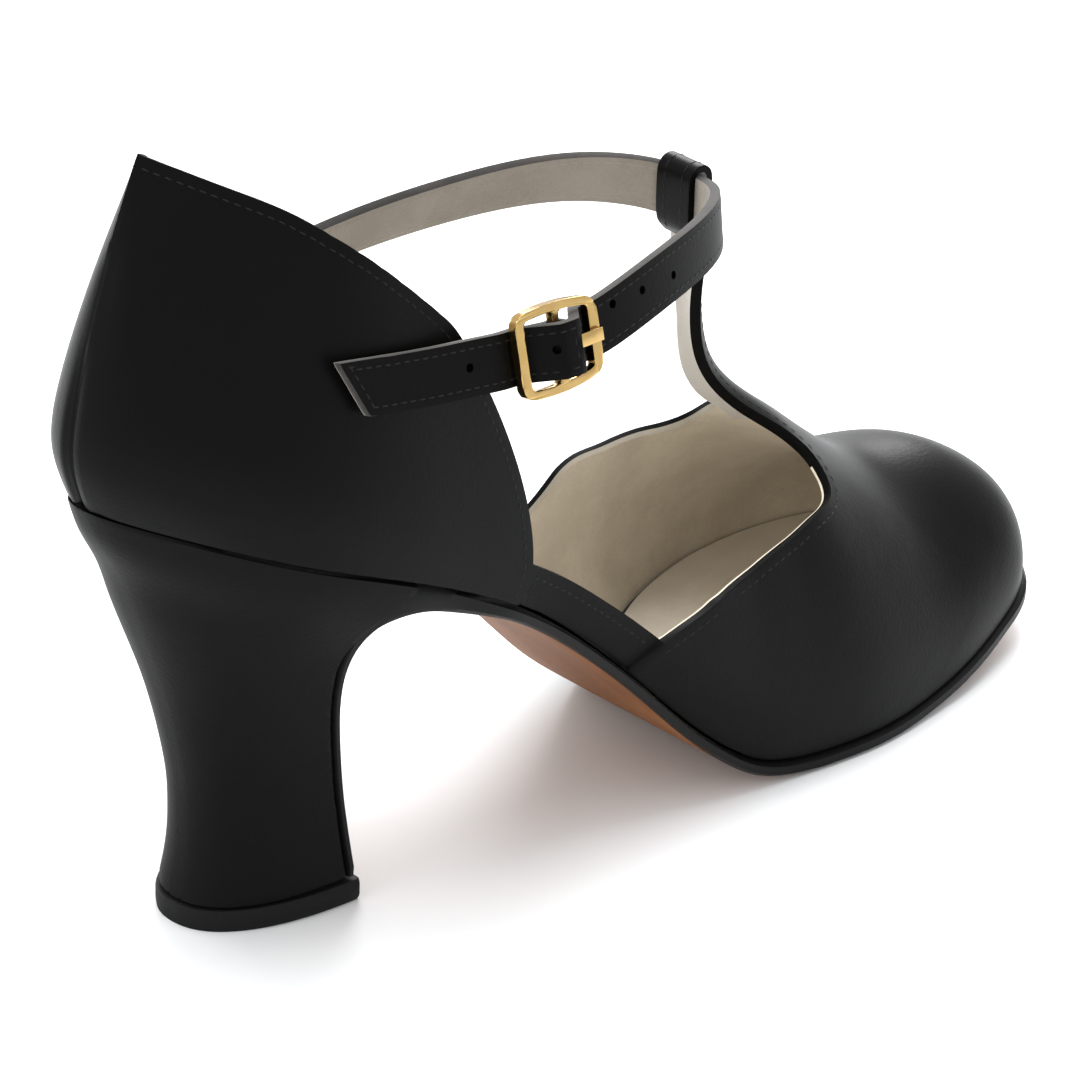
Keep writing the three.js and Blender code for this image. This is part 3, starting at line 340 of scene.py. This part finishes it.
# %% Black leathers
SEAM_Y = -0.000784
SEAM_FLOOR, SEAM_EDGE = 0.10 * MM, 0.55 * MM
SEAM_FADE_Z = (0.102, 0.112)
SEAM_FADE_SHARE = 0.8
SEAM_FRONT_X = (-0.096, -0.092)
SEAM_DEPTH_IN_GRAINS = 6.0
BLACK_SPECULAR = 0.04
BLACK_COAT_ROUGHNESS = 0.34


def back_seam(flow, place):
    """1 in the narrow groove low on the back of the quarter, weaker higher up."""
    across = flow.node("ShaderNodeSeparateXYZ", None, {0: place}, out="Y") - SEAM_Y
    ahead = flow.node("ShaderNodeSeparateXYZ", None, {0: place}, out="X")
    height = flow.node("ShaderNodeSeparateXYZ", None, {0: place}, out="Z")
    groove = 1 - step_up(flow, flow.maths("ABSOLUTE", across, 0.0), SEAM_FLOOR, SEAM_EDGE)
    low = 1 - SEAM_FADE_SHARE * step_up(flow, height, *SEAM_FADE_Z)
    return groove * low * (1 - step_up(flow, ahead, *SEAM_FRONT_X))


def black_leather(name, tone, gloss, grain_mm, depth_mm, coat, seam=False):
    """Dyed leather: how dark, how rough, how big and deep its grain, how much top coat."""
    material, flow, place = new_finish(name)
    pebbles = cells(flow, place, grain_mm)
    pores = noise(flow, place, grain_mm * 0.4, detail=3.0)
    broad = noise(flow, place, 18.0, detail=2.0)
    height = 0.65 * pebbles + 0.35 * pores + 0.6 * broad
    if seam:
        height = height - SEAM_DEPTH_IN_GRAINS * back_seam(flow, place)
    dark = (tone * 0.8, tone * 0.79, tone * 0.8, 1)
    light = (tone * 1.25, tone * 1.2, tone * 1.18, 1)
    sockets = {
        "Base Color": blend(flow, broad, dark, light),
        "Roughness": gloss + 0.10 * (broad - 0.5) + 0.08 * pores,
        "Specular IOR Level": BLACK_SPECULAR,
        "Coat Weight": coat,
        "Coat Roughness": BLACK_COAT_ROUGHNESS,
        "Normal": relief(flow, height, depth_mm),
    }
    close_finish(flow, sockets)
    return material


UPPER_LEATHER = black_leather("upper_leather", 0.0018, 0.34, 0.75, 0.035, 0.07, seam=True)
STRAP_LEATHER = black_leather("strap_leather", 0.0018, 0.42, 0.70, 0.035, 0.04)
HEEL_LEATHER = black_leather("heel_leather", 0.0034, 0.44, 0.80, 0.040, 0.05)
FOLDED_EDGE = black_leather("folded_edge", 0.0018, 0.50, 0.60, 0.025, 0.02)
print("black leathers written")

# %% [markdown]
# ## Lining, insole and sole
#
# The lining and the sock are greige suede: no gloss, a short nap that mottles in soft patches,
# and fine fibres. The T-bar's lining and the cut edges are the same kind of leather in other
# tones, with a finer nap. The sole is vegetable-tanned leather, tan with darker clouds and fine
# scratches, between black dyed edges. One function for each kind keeps their grain alike.


# %% Suedes, tan leather and edges
def suede(name, light, dark, nap_mm, depth_mm):
    """Napped leather between two colours, with patches and fibres."""
    material, flow, place = new_finish(name)
    patches = noise(flow, place, 14.0, detail=4.0, roughness=0.62)
    fibres = noise(flow, place, nap_mm, detail=3.0, roughness=0.7)
    share = step_up(flow, 0.7 * patches + 0.3 * fibres, 0.36, 0.66)
    sockets = {
        "Base Color": blend(flow, share, dark, light),
        "Roughness": 0.94 - 0.10 * patches,
        "Specular IOR Level": 0.2,
        "Sheen Weight": 0.25,
        "Sheen Roughness": 0.5,
        "Normal": relief(flow, fibres + 0.8 * patches, depth_mm),
    }
    close_finish(flow, sockets)
    return material


def tan_leather(name, light, dark):
    """Sole leather: clouds of dye, pores and long fine scratches."""
    material, flow, place = new_finish(name)
    clouds = noise(flow, place, 22.0, detail=5.0, roughness=0.6)
    pores = cells(flow, place, 0.5)
    settings = {"vector_type": "POINT"}
    sockets = {"Vector": place, "Scale": (0.12, 1.0, 1.0)}
    stretched = flow.node("ShaderNodeMapping", settings, sockets)
    scratches = noise(flow, stretched, 1.1, detail=2.0)
    share = step_up(flow, 0.75 * clouds + 0.25 * scratches, 0.35, 0.65)
    sockets = {
        "Base Color": blend(flow, share, dark, light),
        "Roughness": 0.48 + 0.16 * clouds,
        "Specular IOR Level": 0.15,
        "Normal": relief(flow, pores + 0.8 * scratches, 0.03),
    }
    close_finish(flow, sockets)
    return material


def plain_black(name, tone, gloss, grain_mm, depth_mm):
    """Dyed edge or rubber: dark, with fine noise in its height and gloss."""
    material, flow, place = new_finish(name)
    fine = noise(flow, place, grain_mm, detail=4.0, roughness=0.6)
    sockets = {
        "Base Color": blend(flow, fine, (tone * 0.7,) * 3 + (1,), (tone * 1.4,) * 3 + (1,)),
        "Roughness": gloss + 0.15 * fine,
        "Specular IOR Level": 0.12,
        "Normal": relief(flow, fine, depth_mm),
    }
    close_finish(flow, sockets)
    return material


SUEDES = {}
for name, light, dark, nap_mm, depth_mm in (
    ("greige_lining", (0.64, 0.58, 0.48), (0.52, 0.46, 0.37), 0.5, 0.05),
    # painted shade: a darker copy of the lining's tone, for the rim across the opening
    ("painted_shade_lining_edge", (0.27, 0.24, 0.19), (0.21, 0.185, 0.145), 0.4, 0.03),
    ("strap_lining", (0.25, 0.225, 0.195), (0.20, 0.178, 0.15), 0.5, 0.05),
    ("cream_cut_edge", (0.72, 0.66, 0.55), (0.62, 0.55, 0.44), 0.4, 0.03),
    ("pale_bar_lining", (0.53, 0.51, 0.48), (0.47, 0.45, 0.42), 0.4, 0.03),
    ("sock_suede", (0.79, 0.74, 0.64), (0.70, 0.64, 0.55), 0.5, 0.04),
    ("dark_cut_edge", (0.030, 0.026, 0.023), (0.010, 0.009, 0.008), 0.6, 0.05),
    ("pale_cut_edge", (0.40, 0.36, 0.29), (0.16, 0.14, 0.11), 0.6, 0.05),
    ("greige_thread", (0.30, 0.27, 0.23), (0.22, 0.20, 0.17), 0.15, 0.02),
):
    SUEDES[name] = suede(name, light + (1,), dark + (1,), nap_mm, depth_mm)
SOLE_TAN = tan_leather("sole_tan", (0.235, 0.095, 0.032, 1), (0.16, 0.058, 0.018, 1))
SOLE_EDGE = plain_black("dyed_sole_edge", 0.005, 0.36, 1.2, 0.04)
RUBBER = plain_black("top_rubber", 0.007, 0.55, 0.7, 0.05)
THREAD = plain_black("black_thread", 0.008, 0.40, 0.12, 0.02)
print("suedes written:", ", ".join(SUEDES))

# %% [markdown]
# ## Brass
#
# The buckle is a polished yellow metal, worn a little soft: a metallic surface whose gloss
# wanders and which carries faint fine scratches, so that its highlights are not a mirror's.

# %% Brass
BRASS, flow, place = new_finish("buckle_brass")
haze = noise(flow, place, 3.0, detail=3.0)
lines = noise(flow, place, 0.25, detail=3.0, roughness=0.6)
close_finish(
    flow,
    {
        "Base Color": blend(flow, haze, (0.43, 0.28, 0.10, 1), (0.61, 0.42, 0.17, 1)),
        "Metallic": 1.0,
        "Roughness": 0.10 + 0.12 * haze,
        "Normal": relief(flow, lines, 0.006),
    },
)
print("brass written")

# %% [markdown]
# ## The upper
#
# The upper is one hollow wall: quarter, two low strips, vamp and the T-bar with its folded loop.
# It could be built again from a sheet, but the solid already has the right form, so its copy
# is smoothed. Before that its skins get their slots, which the subdivision carries along. The
# rims are folded black leather outside, and after the smoothing their inner rings show the cut:
# cream near the camera, and across the opening painted shade: a darker copy of the lining's tone.

# %% Upper: skins
upper = copy_of("upper", "upper_leather_shell")
drop_slivers(upper, 0.12 * MM)
SKIN, LINED, BAR_LINED, BAR_RIM, RIM, CREAM_RIM, FAR_RIM = range(7)
for material in (
    UPPER_LEATHER,
    SUEDES["greige_lining"],
    SUEDES["pale_bar_lining"],
    FOLDED_EDGE,
    FOLDED_EDGE,
    SUEDES["cream_cut_edge"],
    SUEDES["painted_shade_lining_edge"],
):
    upper.data.materials.append(material)

OUTER_SEEDS = [
    (-0.130, 0.000, 0.110),
    (-0.060, -0.060, 0.100),
    (-0.060, 0.060, 0.100),
    (-0.015, -0.060, 0.044),
    (-0.015, 0.060, 0.044),
    (0.070, 0.000, 0.090),
    (0.060, -0.060, 0.025),
    (0.060, 0.060, 0.025),
]
INNER_SEEDS = [
    (-0.085, 0.000, 0.105),
    (-0.060, 0.010, 0.092),
    (-0.060, -0.010, 0.092),
    (-0.015, -0.010, 0.046),
    (-0.015, 0.010, 0.046),
    (0.060, 0.000, 0.024),
    (0.060, 0.015, 0.024),
    (0.060, -0.015, 0.024),
]
BAR_START_Z = 0.0465
BAR_INNER_Y = 0.0095

outside = skin_faces(upper, OUTER_SEEDS, sharpness=60)
inside = skin_faces(upper, INNER_SEEDS) - outside
centres = [face.center.copy() for face in upper.data.polygons]
bar_inside = {n for n in inside if centres[n].z > BAR_START_Z and centres[n].x > 0}
rims = set(range(len(centres))) - outside - inside
give_slot(upper, outside, SKIN)
give_slot(upper, inside - bar_inside, LINED)
give_slot(upper, bar_inside, BAR_LINED)
bar_rims = {n for n in rims if centres[n].z > BAR_START_Z and centres[n].x > 0}
bar_rims -= {n for n in bar_rims if centres[n].y > BAR_INNER_Y}
give_slot(upper, bar_rims, BAR_RIM)
give_slot(upper, rims - bar_rims, RIM)

# %% Upper: smoothing
LOWEST_RIM_LOOK = -0.3
FAR_THROAT_X, FAR_THROAT_Y = -0.03, 0.004

smooth(upper, levels=2, angle=48, crease=0.85)


def faces_up(face):
    """A rim that doesn't look down at the sole."""
    return face.normal.z > LOWEST_RIM_LOOK


def on_far_throat(face):
    """The rim that the camera sees across the opening."""
    return face.center.y > FAR_THROAT_Y and face.center.x > FAR_THROAT_X and faces_up(face)


# painted shade: the rim across the opening takes the darker copy of the lining's tone
split_rim(upper, SKIN, RIM, 2, FAR_RIM, on_far_throat)
split_rim(upper, SKIN, RIM, 3, CREAM_RIM, faces_up)
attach(upper, "root")
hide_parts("upper")

# %% [markdown]
# ## The dart at the back
#
# Low on the back seam the leather is pinched into a dart that takes in the fullness over the
# heel. A bump alone would leave the outline straight there, so the outer skin's corners near the
# seam are pressed in: a trough on the seam and a low lip on each side of it, both easing off
# upwards. The groove in the leather's bump deepens the trough and goes on faintly above it.

# %% Upper: the back dart
DART_LOW, DART_HIGH = 0.083, 0.110
DART_WIDTH = 0.9 * MM
DART_DEPTH = 0.95 * MM
DART_LIP = 0.25 * MM
DART_LIP_AWAY = 1.9
DART_TUCK = -0.2
BACK_X, BACK_LOOK = -0.09, -0.2

pressed = 0
for corner in upper.data.vertices:
    climb = (corner.co.z - DART_LOW) / (DART_HIGH - DART_LOW)
    on_back = corner.co.x < BACK_X and corner.normal.x < BACK_LOOK
    if not on_back or not DART_TUCK < climb < 1:
        continue
    away = (corner.co.y - SEAM_Y) / DART_WIDTH
    trough = DART_DEPTH * math.exp(-(away**2))
    lips = DART_LIP * math.exp(-((abs(away) - DART_LIP_AWAY) ** 2))
    corner.co.x += (trough - lips) * min(1, 2 * (1 - climb))
    pressed += 1
print("corners pressed for the dart:", pressed)

# %% [markdown]
# ## The ankle strap
#
# The strap is one piece of leather faced with suede, cut and not folded at its edges. They are
# dyed dark, and the paler core shows only from the buckle out to the slanted free end. It passes
# through the loop of the T-bar, under the buckle's frame and over its bar.

# %% Ankle strap: skins and smoothing
FREE_END_X = -0.048
STRAP_BEND = 78
STRAP_OUTER_SEEDS = [(-0.011, -0.050, 0.108), (-0.060, -0.060, 0.105)]
STRAP_INNER_SEEDS = [(0.004, 0.000, 0.099)]

strap = copy_of("ankle_strap", "ankle_strap_leather")
STRAP_SKIN, STRAP_BACK, STRAP_RIM, STRAP_END_RIM = range(4)
for material in (
    STRAP_LEATHER,
    SUEDES["strap_lining"],
    SUEDES["dark_cut_edge"],
    SUEDES["pale_cut_edge"],
):
    strap.data.materials.append(material)
strap_outside = skin_faces(strap, STRAP_OUTER_SEEDS, STRAP_BEND)
strap_inside = skin_faces(strap, STRAP_INNER_SEEDS, STRAP_BEND) - strap_outside
give_slot(strap, set(range(len(strap.data.polygons))), STRAP_RIM)
give_slot(strap, strap_outside, STRAP_SKIN)
give_slot(strap, strap_inside, STRAP_BACK)
smooth(strap, levels=2, angle=48, crease=0.85)


def on_free_end(face):
    """The rim behind the buckle, out to the slanted end."""
    return face.center.x < FREE_END_X


split_rim(strap, STRAP_SKIN, STRAP_RIM, 3, STRAP_END_RIM, on_free_end)
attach(strap, "root")
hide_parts("ankle_strap")

# %% [markdown]
# ## Punched holes
#
# The strap has five round holes beside the prong's own. A hole could be a dark disc, but a
# punched hole has depth and shows the white behind it from some sides, so each is cut: a
# cylinder stands across the strap and a Boolean takes it away.

# %% Punched holes
HOLE_ACROSS = 1.5 * MM
HOLE_SIDES = 20
CUTTER_LENGTH = 3.2 * MM
HOLE_PLACES = [
    (-0.04928, -0.03102, 0.10039),
    (-0.03478, -0.03546, 0.10086),
    (-0.01784, -0.03017, 0.10212),
    (-0.01026, -0.02912, 0.10205),
    (-0.00108, -0.02693, 0.10133),
]


def surface_of(piece):
    """A search tree of a piece's surface."""
    shape = piece.data
    return BVHTree.FromPolygons(
        [corner.co for corner in shape.vertices], [face.vertices[:] for face in shape.polygons]
    )


def punch(place):
    """Cuts one round hole across the strap."""
    middle, normal, _, _ = surface_of(strap).find_nearest(Vector(place))
    turn = normal.to_track_quat("Z", "Y").to_euler()
    bpy.ops.object.select_all(action="DESELECT")
    bpy.ops.mesh.primitive_cylinder_add(
        vertices=HOLE_SIDES,
        radius=HOLE_ACROSS / 2,
        depth=CUTTER_LENGTH,
        location=middle,
        rotation=turn,
    )
    cutter = bpy.context.object
    cutter.data.materials.append(STRAP_LEATHER)
    apply_modifier(strap, "BOOLEAN", operation="DIFFERENCE", solver="EXACT", object=cutter)
    bpy.data.objects.remove(cutter)


for hole_place in HOLE_PLACES:
    punch(hole_place)
print("strap has", len(strap.data.polygons), "faces after punching")

# %% [markdown]
# ## Tab, heel, top piece and insole
#
# These keep the form of their solids. The heel block is covered in leather, so its edges are
# soft but clear. The insole is a thin board with suede on it. The tab is a narrow loop of strap
# leather that holds the buckle.


# %% Helper for a piece that keeps its solid's form
def dress(node, name, materials, levels, crease):
    """A smoothed copy of a solid that replaces it and takes its finishes."""
    piece = copy_of(node, name)
    for material in materials:
        piece.data.materials.append(material)
    smooth(piece, levels, angle=40, crease=crease)
    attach(piece, "root")
    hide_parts(node)
    return piece


# %% Heel, tab, insole and top piece
BOARD_EDGE_LOOK = 0.4

dress("heel", "heel_cover_leather", [HEEL_LEATHER], levels=2, crease=0.75)
dress("buckle_tab", "buckle_tab_leather", [STRAP_LEATHER], levels=1, crease=0.8)
sock_finishes = [SUEDES["sock_suede"], SOLE_EDGE]
insole = dress("insole", "insole_sock", sock_finishes, levels=2, crease=0.9)
board_edge = {face.index for face in insole.data.polygons if face.normal.z < BOARD_EDGE_LOOK}
give_slot(insole, board_edge, 1)
dress("top_piece", "top_piece_rubber", [RUBBER], levels=2, crease=0.92)

# %% [markdown]
# ## The sole
#
# One leather sole runs from the toe to the waist and on down the heel's front. Its underside is
# bare tan leather and its edges are dyed black. A flood from two places below it picks the
# underside with the flap's front, up to their sharp edges, and all the rest takes the dye.

# %% Sole: underside and edges
sole = copy_of("outsole", "sole_leather_piece")
for material in (SOLE_EDGE, SOLE_TAN):
    sole.data.materials.append(material)
underside = skin_faces(sole, [(0.000, 0.000, 0.000), (0.050, 0.000, -0.020)], sharpness=55)
give_slot(sole, underside, 1)
smooth(sole, levels=2, angle=48, crease=0.8)
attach(sole, "root")
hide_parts("outsole")

# %% [markdown]
# ## The buckle
#
# The frame is bent and pressed from one round wire, with a straight bar across it for the tab
# and the prong. Its upper and lower rails bow outwards a little, so their faces are divided and
# moved along a parabola. Smoothing its fine faces then rounds the wire, as polishing does. The
# prong is a small pressed piece, and a bevel is enough for it.

# %% Buckle frame and prong
FRAME_MIDDLE = Vector((-0.03198, -0.03233, 0.09962))
FRAME_UP = Vector((0, 0.2419, 0.9703))
FRAME_REACH = 8.7 * MM
RAIL_START = 4.2 * MM
RAIL_BOW = 0.9 * MM
PRONG_BEVEL = 0.22 * MM

buckle = copy_of("buckle_frame", "buckle_frame_brass")
prong = copy_of("prong", "prong_brass")
apply_modifier(buckle, "SUBSURF", subdivision_type="SIMPLE", levels=3, render_levels=3)
for corner in buckle.data.vertices:
    away = corner.co - FRAME_MIDDLE
    lift = away.dot(FRAME_UP)
    share = min(abs(lift) / RAIL_START, 1) * (1 - (away.x / FRAME_REACH) ** 2)
    corner.co += FRAME_UP * math.copysign(RAIL_BOW, lift) * share

apply_modifier(buckle, "SMOOTH", factor=0.5, iterations=10)
apply_modifier(
    prong,
    "BEVEL",
    width=PRONG_BEVEL,
    segments=4,
    limit_method="ANGLE",
    angle_limit=math.radians(35),
)
for piece, node, slot in (
    (buckle, "buckle_frame", "frame_brass"),
    (prong, "prong", "prong_brass"),
):
    piece.data.materials.append(BRASS)
    pick(piece)
    bpy.ops.object.shade_smooth_by_angle(angle=math.radians(40))
    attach(piece, "root")
    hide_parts(node)
    print(piece.name, "has", len(piece.data.polygons), "faces")

# %% [markdown]
# ## Stitches
#
# Rows of small stitches run one to two millimetres inside the toplines, the cut-outs, the T-bar
# and both faces of the strap. A bump map could draw them, but real thread catches the light, so
# each stitch is a small body. One is modelled, and the rows are copies of it. The rows follow
# the edge of a skin: the edge is read from the mesh, moved inwards over the skin, and laid back
# on the surface.

# %% One stitch
STITCH_LENGTH = 1.35 * MM
STITCH_PITCH = 1.9 * MM
THREAD_WIDTH = 0.36 * MM
THREAD_FLATNESS = 0.8

bpy.ops.object.select_all(action="DESELECT")
bpy.ops.mesh.primitive_uv_sphere_add(segments=6, ring_count=5, radius=0.5)
stitch = bpy.context.object
bpy.ops.object.mode_set(mode="EDIT")
bpy.ops.transform.rotate(value=math.radians(90), orient_axis="Y", center_override=(0, 0, 0))
bpy.ops.transform.resize(value=(STITCH_LENGTH, THREAD_WIDTH, THREAD_WIDTH * THREAD_FLATNESS))
bpy.ops.object.mode_set(mode="OBJECT")
STITCH_POINTS = [corner.co.copy() for corner in stitch.data.vertices]
STITCH_FACES = [tuple(face.vertices) for face in stitch.data.polygons]
bpy.data.objects.remove(stitch)
print("one stitch has", len(STITCH_FACES), "faces")


# %% Reading the edge of a skin
def skin_border(piece, slot):
    """The border edges of all faces in a slot: end points and the way out of the skin."""
    shape = bmesh.new()
    shape.from_mesh(piece.data)
    border = []
    for edge in shape.edges:
        own = [face for face in edge.link_faces if face.material_index == slot]
        if len(own) != 1 or len(edge.link_faces) != 2:
            continue
        start, end = (corner.co.copy() for corner in edge.verts)
        out = (end - start).cross(own[0].normal).normalized()
        if out.dot(own[0].calc_center_median() - start) > 0:
            out = -out
        border.append((edge.verts[0].index, edge.verts[1].index, start, end, out))
    shape.free()
    return border


def border_runs(border):
    """Joins border edges end to end into runs of (point, way out)."""
    at_corner = {}
    for number, (first, second, *_) in enumerate(border):
        at_corner.setdefault(first, []).append(number)
        at_corner.setdefault(second, []).append(number)
    unused = set(range(len(border)))
    runs = []
    for start_number in range(len(border)):
        if start_number not in unused:
            continue
        unused.discard(start_number)
        first, second, start, end, out = border[start_number]
        run = [(start, out), (end, out)]
        for forward in (True, False):
            corner = second if forward else first
            while len(at_corner[corner]) == 2:
                onward = [n for n in at_corner[corner] if n in unused]
                if not onward:
                    break
                unused.discard(onward[0])
                one, two, from_one, to_two, way = border[onward[0]]
                corner, point = (two, to_two) if one == corner else (one, from_one)
                run = run + [(point, way)] if forward else [(point, way)] + run
        runs.append(run)
    return runs


# %% Laying a row of stitches
SHORTEST_EDGE = 1e-7
SUNK_SHARE = 0.12
CLEAR_SHARE = 0.86
SKIN_GAP = 0.5 * MM
END_GAP = 0.2 * MM


def stitch_places(run):
    """Evenly spaced (point, way out, along) on a run."""
    places = []
    left = STITCH_PITCH
    for (start, out), (end, next_out) in zip(run, run[1:]):
        length = (end - start).length
        if length < SHORTEST_EDGE:
            continue
        along = (end - start) / length
        gone = left
        while gone < length:
            places.append((start + along * gone, out.lerp(next_out, gone / length), along))
            gone += STITCH_PITCH
        left = gone - length
    return places


def stitch_row(name, spots, thread):
    """One piece with a stitch on each spot: its place, the surface normal and the way along."""
    points, faces = [], []
    for place, normal, along in spots:
        across = normal.cross(along).normalized()
        turned = Matrix((across.cross(normal), across, normal)).transposed()
        sunk = place - normal * THREAD_WIDTH * SUNK_SHARE
        faces += [tuple(n + len(points) for n in face) for face in STITCH_FACES]
        points += [sunk + turned @ corner for corner in STITCH_POINTS]
    mesh = bpy.data.meshes.new(name)
    mesh.from_pydata(points, [], faces)
    row = bpy.data.objects.new(name, mesh)
    bpy.context.collection.objects.link(row)
    mesh.materials.append(thread)
    pick(row)
    bpy.ops.object.shade_smooth()
    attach(row, "root")
    print(name, "has", len(spots), "stitches")
    return row


def edge_spots(piece, slot, inset, lowest_out):
    """Stitch spots a fixed way inside the edges of a skin, but not along its lowest edges."""
    tree = surface_of(piece)
    border = skin_border(piece, slot)
    near = KDTree(len(border))
    for number, (_, _, start, end, _) in enumerate(border):
        near.insert((start + end) / 2, number)
    near.balance()
    spots = []
    for run in border_runs(border):
        for point, out, along in stitch_places(run):
            place, normal, _, gap = tree.find_nearest(point - out * inset)
            clear = near.find(place)[2] > inset * CLEAR_SHARE
            half = along * STITCH_LENGTH / 2
            flat = max(tree.find_nearest(place + end)[3] for end in (half, -half)) < END_GAP
            if out.z > lowest_out and gap < SKIN_GAP and clear and flat:
                spots.append((place, normal, along))
    return spots


# %% All rows of stitches
NOT_THE_SOLE_EDGE = -0.45
EVERY_EDGE = -2.0

upper_spots = edge_spots(upper, SKIN, 1.9 * MM, NOT_THE_SOLE_EDGE)
strap_spots = edge_spots(strap, STRAP_SKIN, 1.35 * MM, EVERY_EDGE)
strap_back_spots = edge_spots(strap, STRAP_BACK, 1.1 * MM, EVERY_EDGE)
for name, spots, thread, slot in (
    ("upper_stitches", upper_spots, THREAD, "black_leather"),
    ("strap_stitches", strap_spots, THREAD, "strap_leather"),
    ("strap_lining_stitches", strap_back_spots, SUEDES["greige_thread"], "strap_leather"),
):
    stitch_row(name, spots, thread)

# %% [markdown]
# ## Floor, light and camera
#
# A plain white studio: a large floor, an even white world, and three softboxes. A broad one
# hangs overhead, a second stands beyond the toe, opposite the camera, where it lays the sheen on
# the vamp and throws the soft shadow forward, and a weak third lights the heel's side from the
# left. The camera looks down at the shoe from behind its outer side with a long lens.

# %% Floor
bpy.ops.object.select_all(action="DESELECT")
bpy.ops.mesh.primitive_plane_add(size=8.0, location=(0, 0, 0))
floor = bpy.context.object
floor.name = "studio_floor"
FLOOR_WHITE, flow, place = new_finish("floor_white")
paper = noise(flow, place, 40.0, detail=1.0)
floor_colour = blend(flow, paper, (0.885, 0.90, 0.91, 1), (0.905, 0.92, 0.93, 1))
close_finish(flow, {"Base Color": floor_colour, "Roughness": 0.9, "Specular IOR Level": 0.1})
floor.data.materials.append(FLOOR_WHITE)
print("floor laid,", round(floor.dimensions.x, 1), "m wide")

# %% Light
world = bpy.data.worlds.new("studio_world")
bpy.context.scene.world = world
world.use_nodes = True
sky = world.node_tree.nodes["Background"]
sky.inputs["Color"].default_value = (1.0, 1.0, 1.0, 1)
sky.inputs["Strength"].default_value = 1.0
bpy.context.scene.view_settings.view_transform = "Standard"


def softbox(name, place, target, size, power):
    """A square area light that looks at a target."""
    turn = (Vector(target) - Vector(place)).to_track_quat("-Z", "Y").to_euler()
    bpy.ops.object.light_add(type="AREA", location=place, rotation=turn)
    lamp = bpy.context.object
    lamp.name = name
    lamp.data.size = size
    lamp.data.energy = power
    print(name, "gives", power, "W")


softbox("high_softbox", (0.10, 0.25, 1.60), (0.0, 0.0, 0.03), size=1.2, power=25.0)
softbox("far_softbox", (1.25, 1.30, 0.95), (0.0, 0.0, 0.05), size=0.9, power=34.0)
softbox("left_softbox", (-1.30, 0.20, 0.80), (0.0, 0.0, 0.06), size=0.8, power=5.0)

# %% Camera
CAMERA_PLACE = Vector((-0.672774, -0.720144, 0.53426))
CAMERA_TURN, CAMERA_DIP, CAMERA_ROLL = (math.radians(a) for a in (42.862, 26.527, 1.514))
FOCAL_PIXELS, PHOTO_PIXELS = 6500, 1080
SENSOR_MM = 36

ahead = Vector(
    (
        math.sin(CAMERA_TURN) * math.cos(CAMERA_DIP),
        math.cos(CAMERA_TURN) * math.cos(CAMERA_DIP),
        -math.sin(CAMERA_DIP),
    )
)
level = Vector((math.cos(CAMERA_TURN), -math.sin(CAMERA_TURN), 0))
upright = level.cross(ahead)
right = level * math.cos(CAMERA_ROLL) + upright * math.sin(CAMERA_ROLL)
up = upright * math.cos(CAMERA_ROLL) - level * math.sin(CAMERA_ROLL)

bpy.ops.object.camera_add()
camera = bpy.context.object
camera.data.sensor_width = SENSOR_MM
camera.data.lens = SENSOR_MM * FOCAL_PIXELS / PHOTO_PIXELS
camera.matrix_world = Matrix.Translation(CAMERA_PLACE) @ Matrix(
    (right, up, -ahead)
).transposed().to_4x4()
bpy.context.scene.camera = camera
print("camera at", tuple(round(value, 3) for value in CAMERA_PLACE))
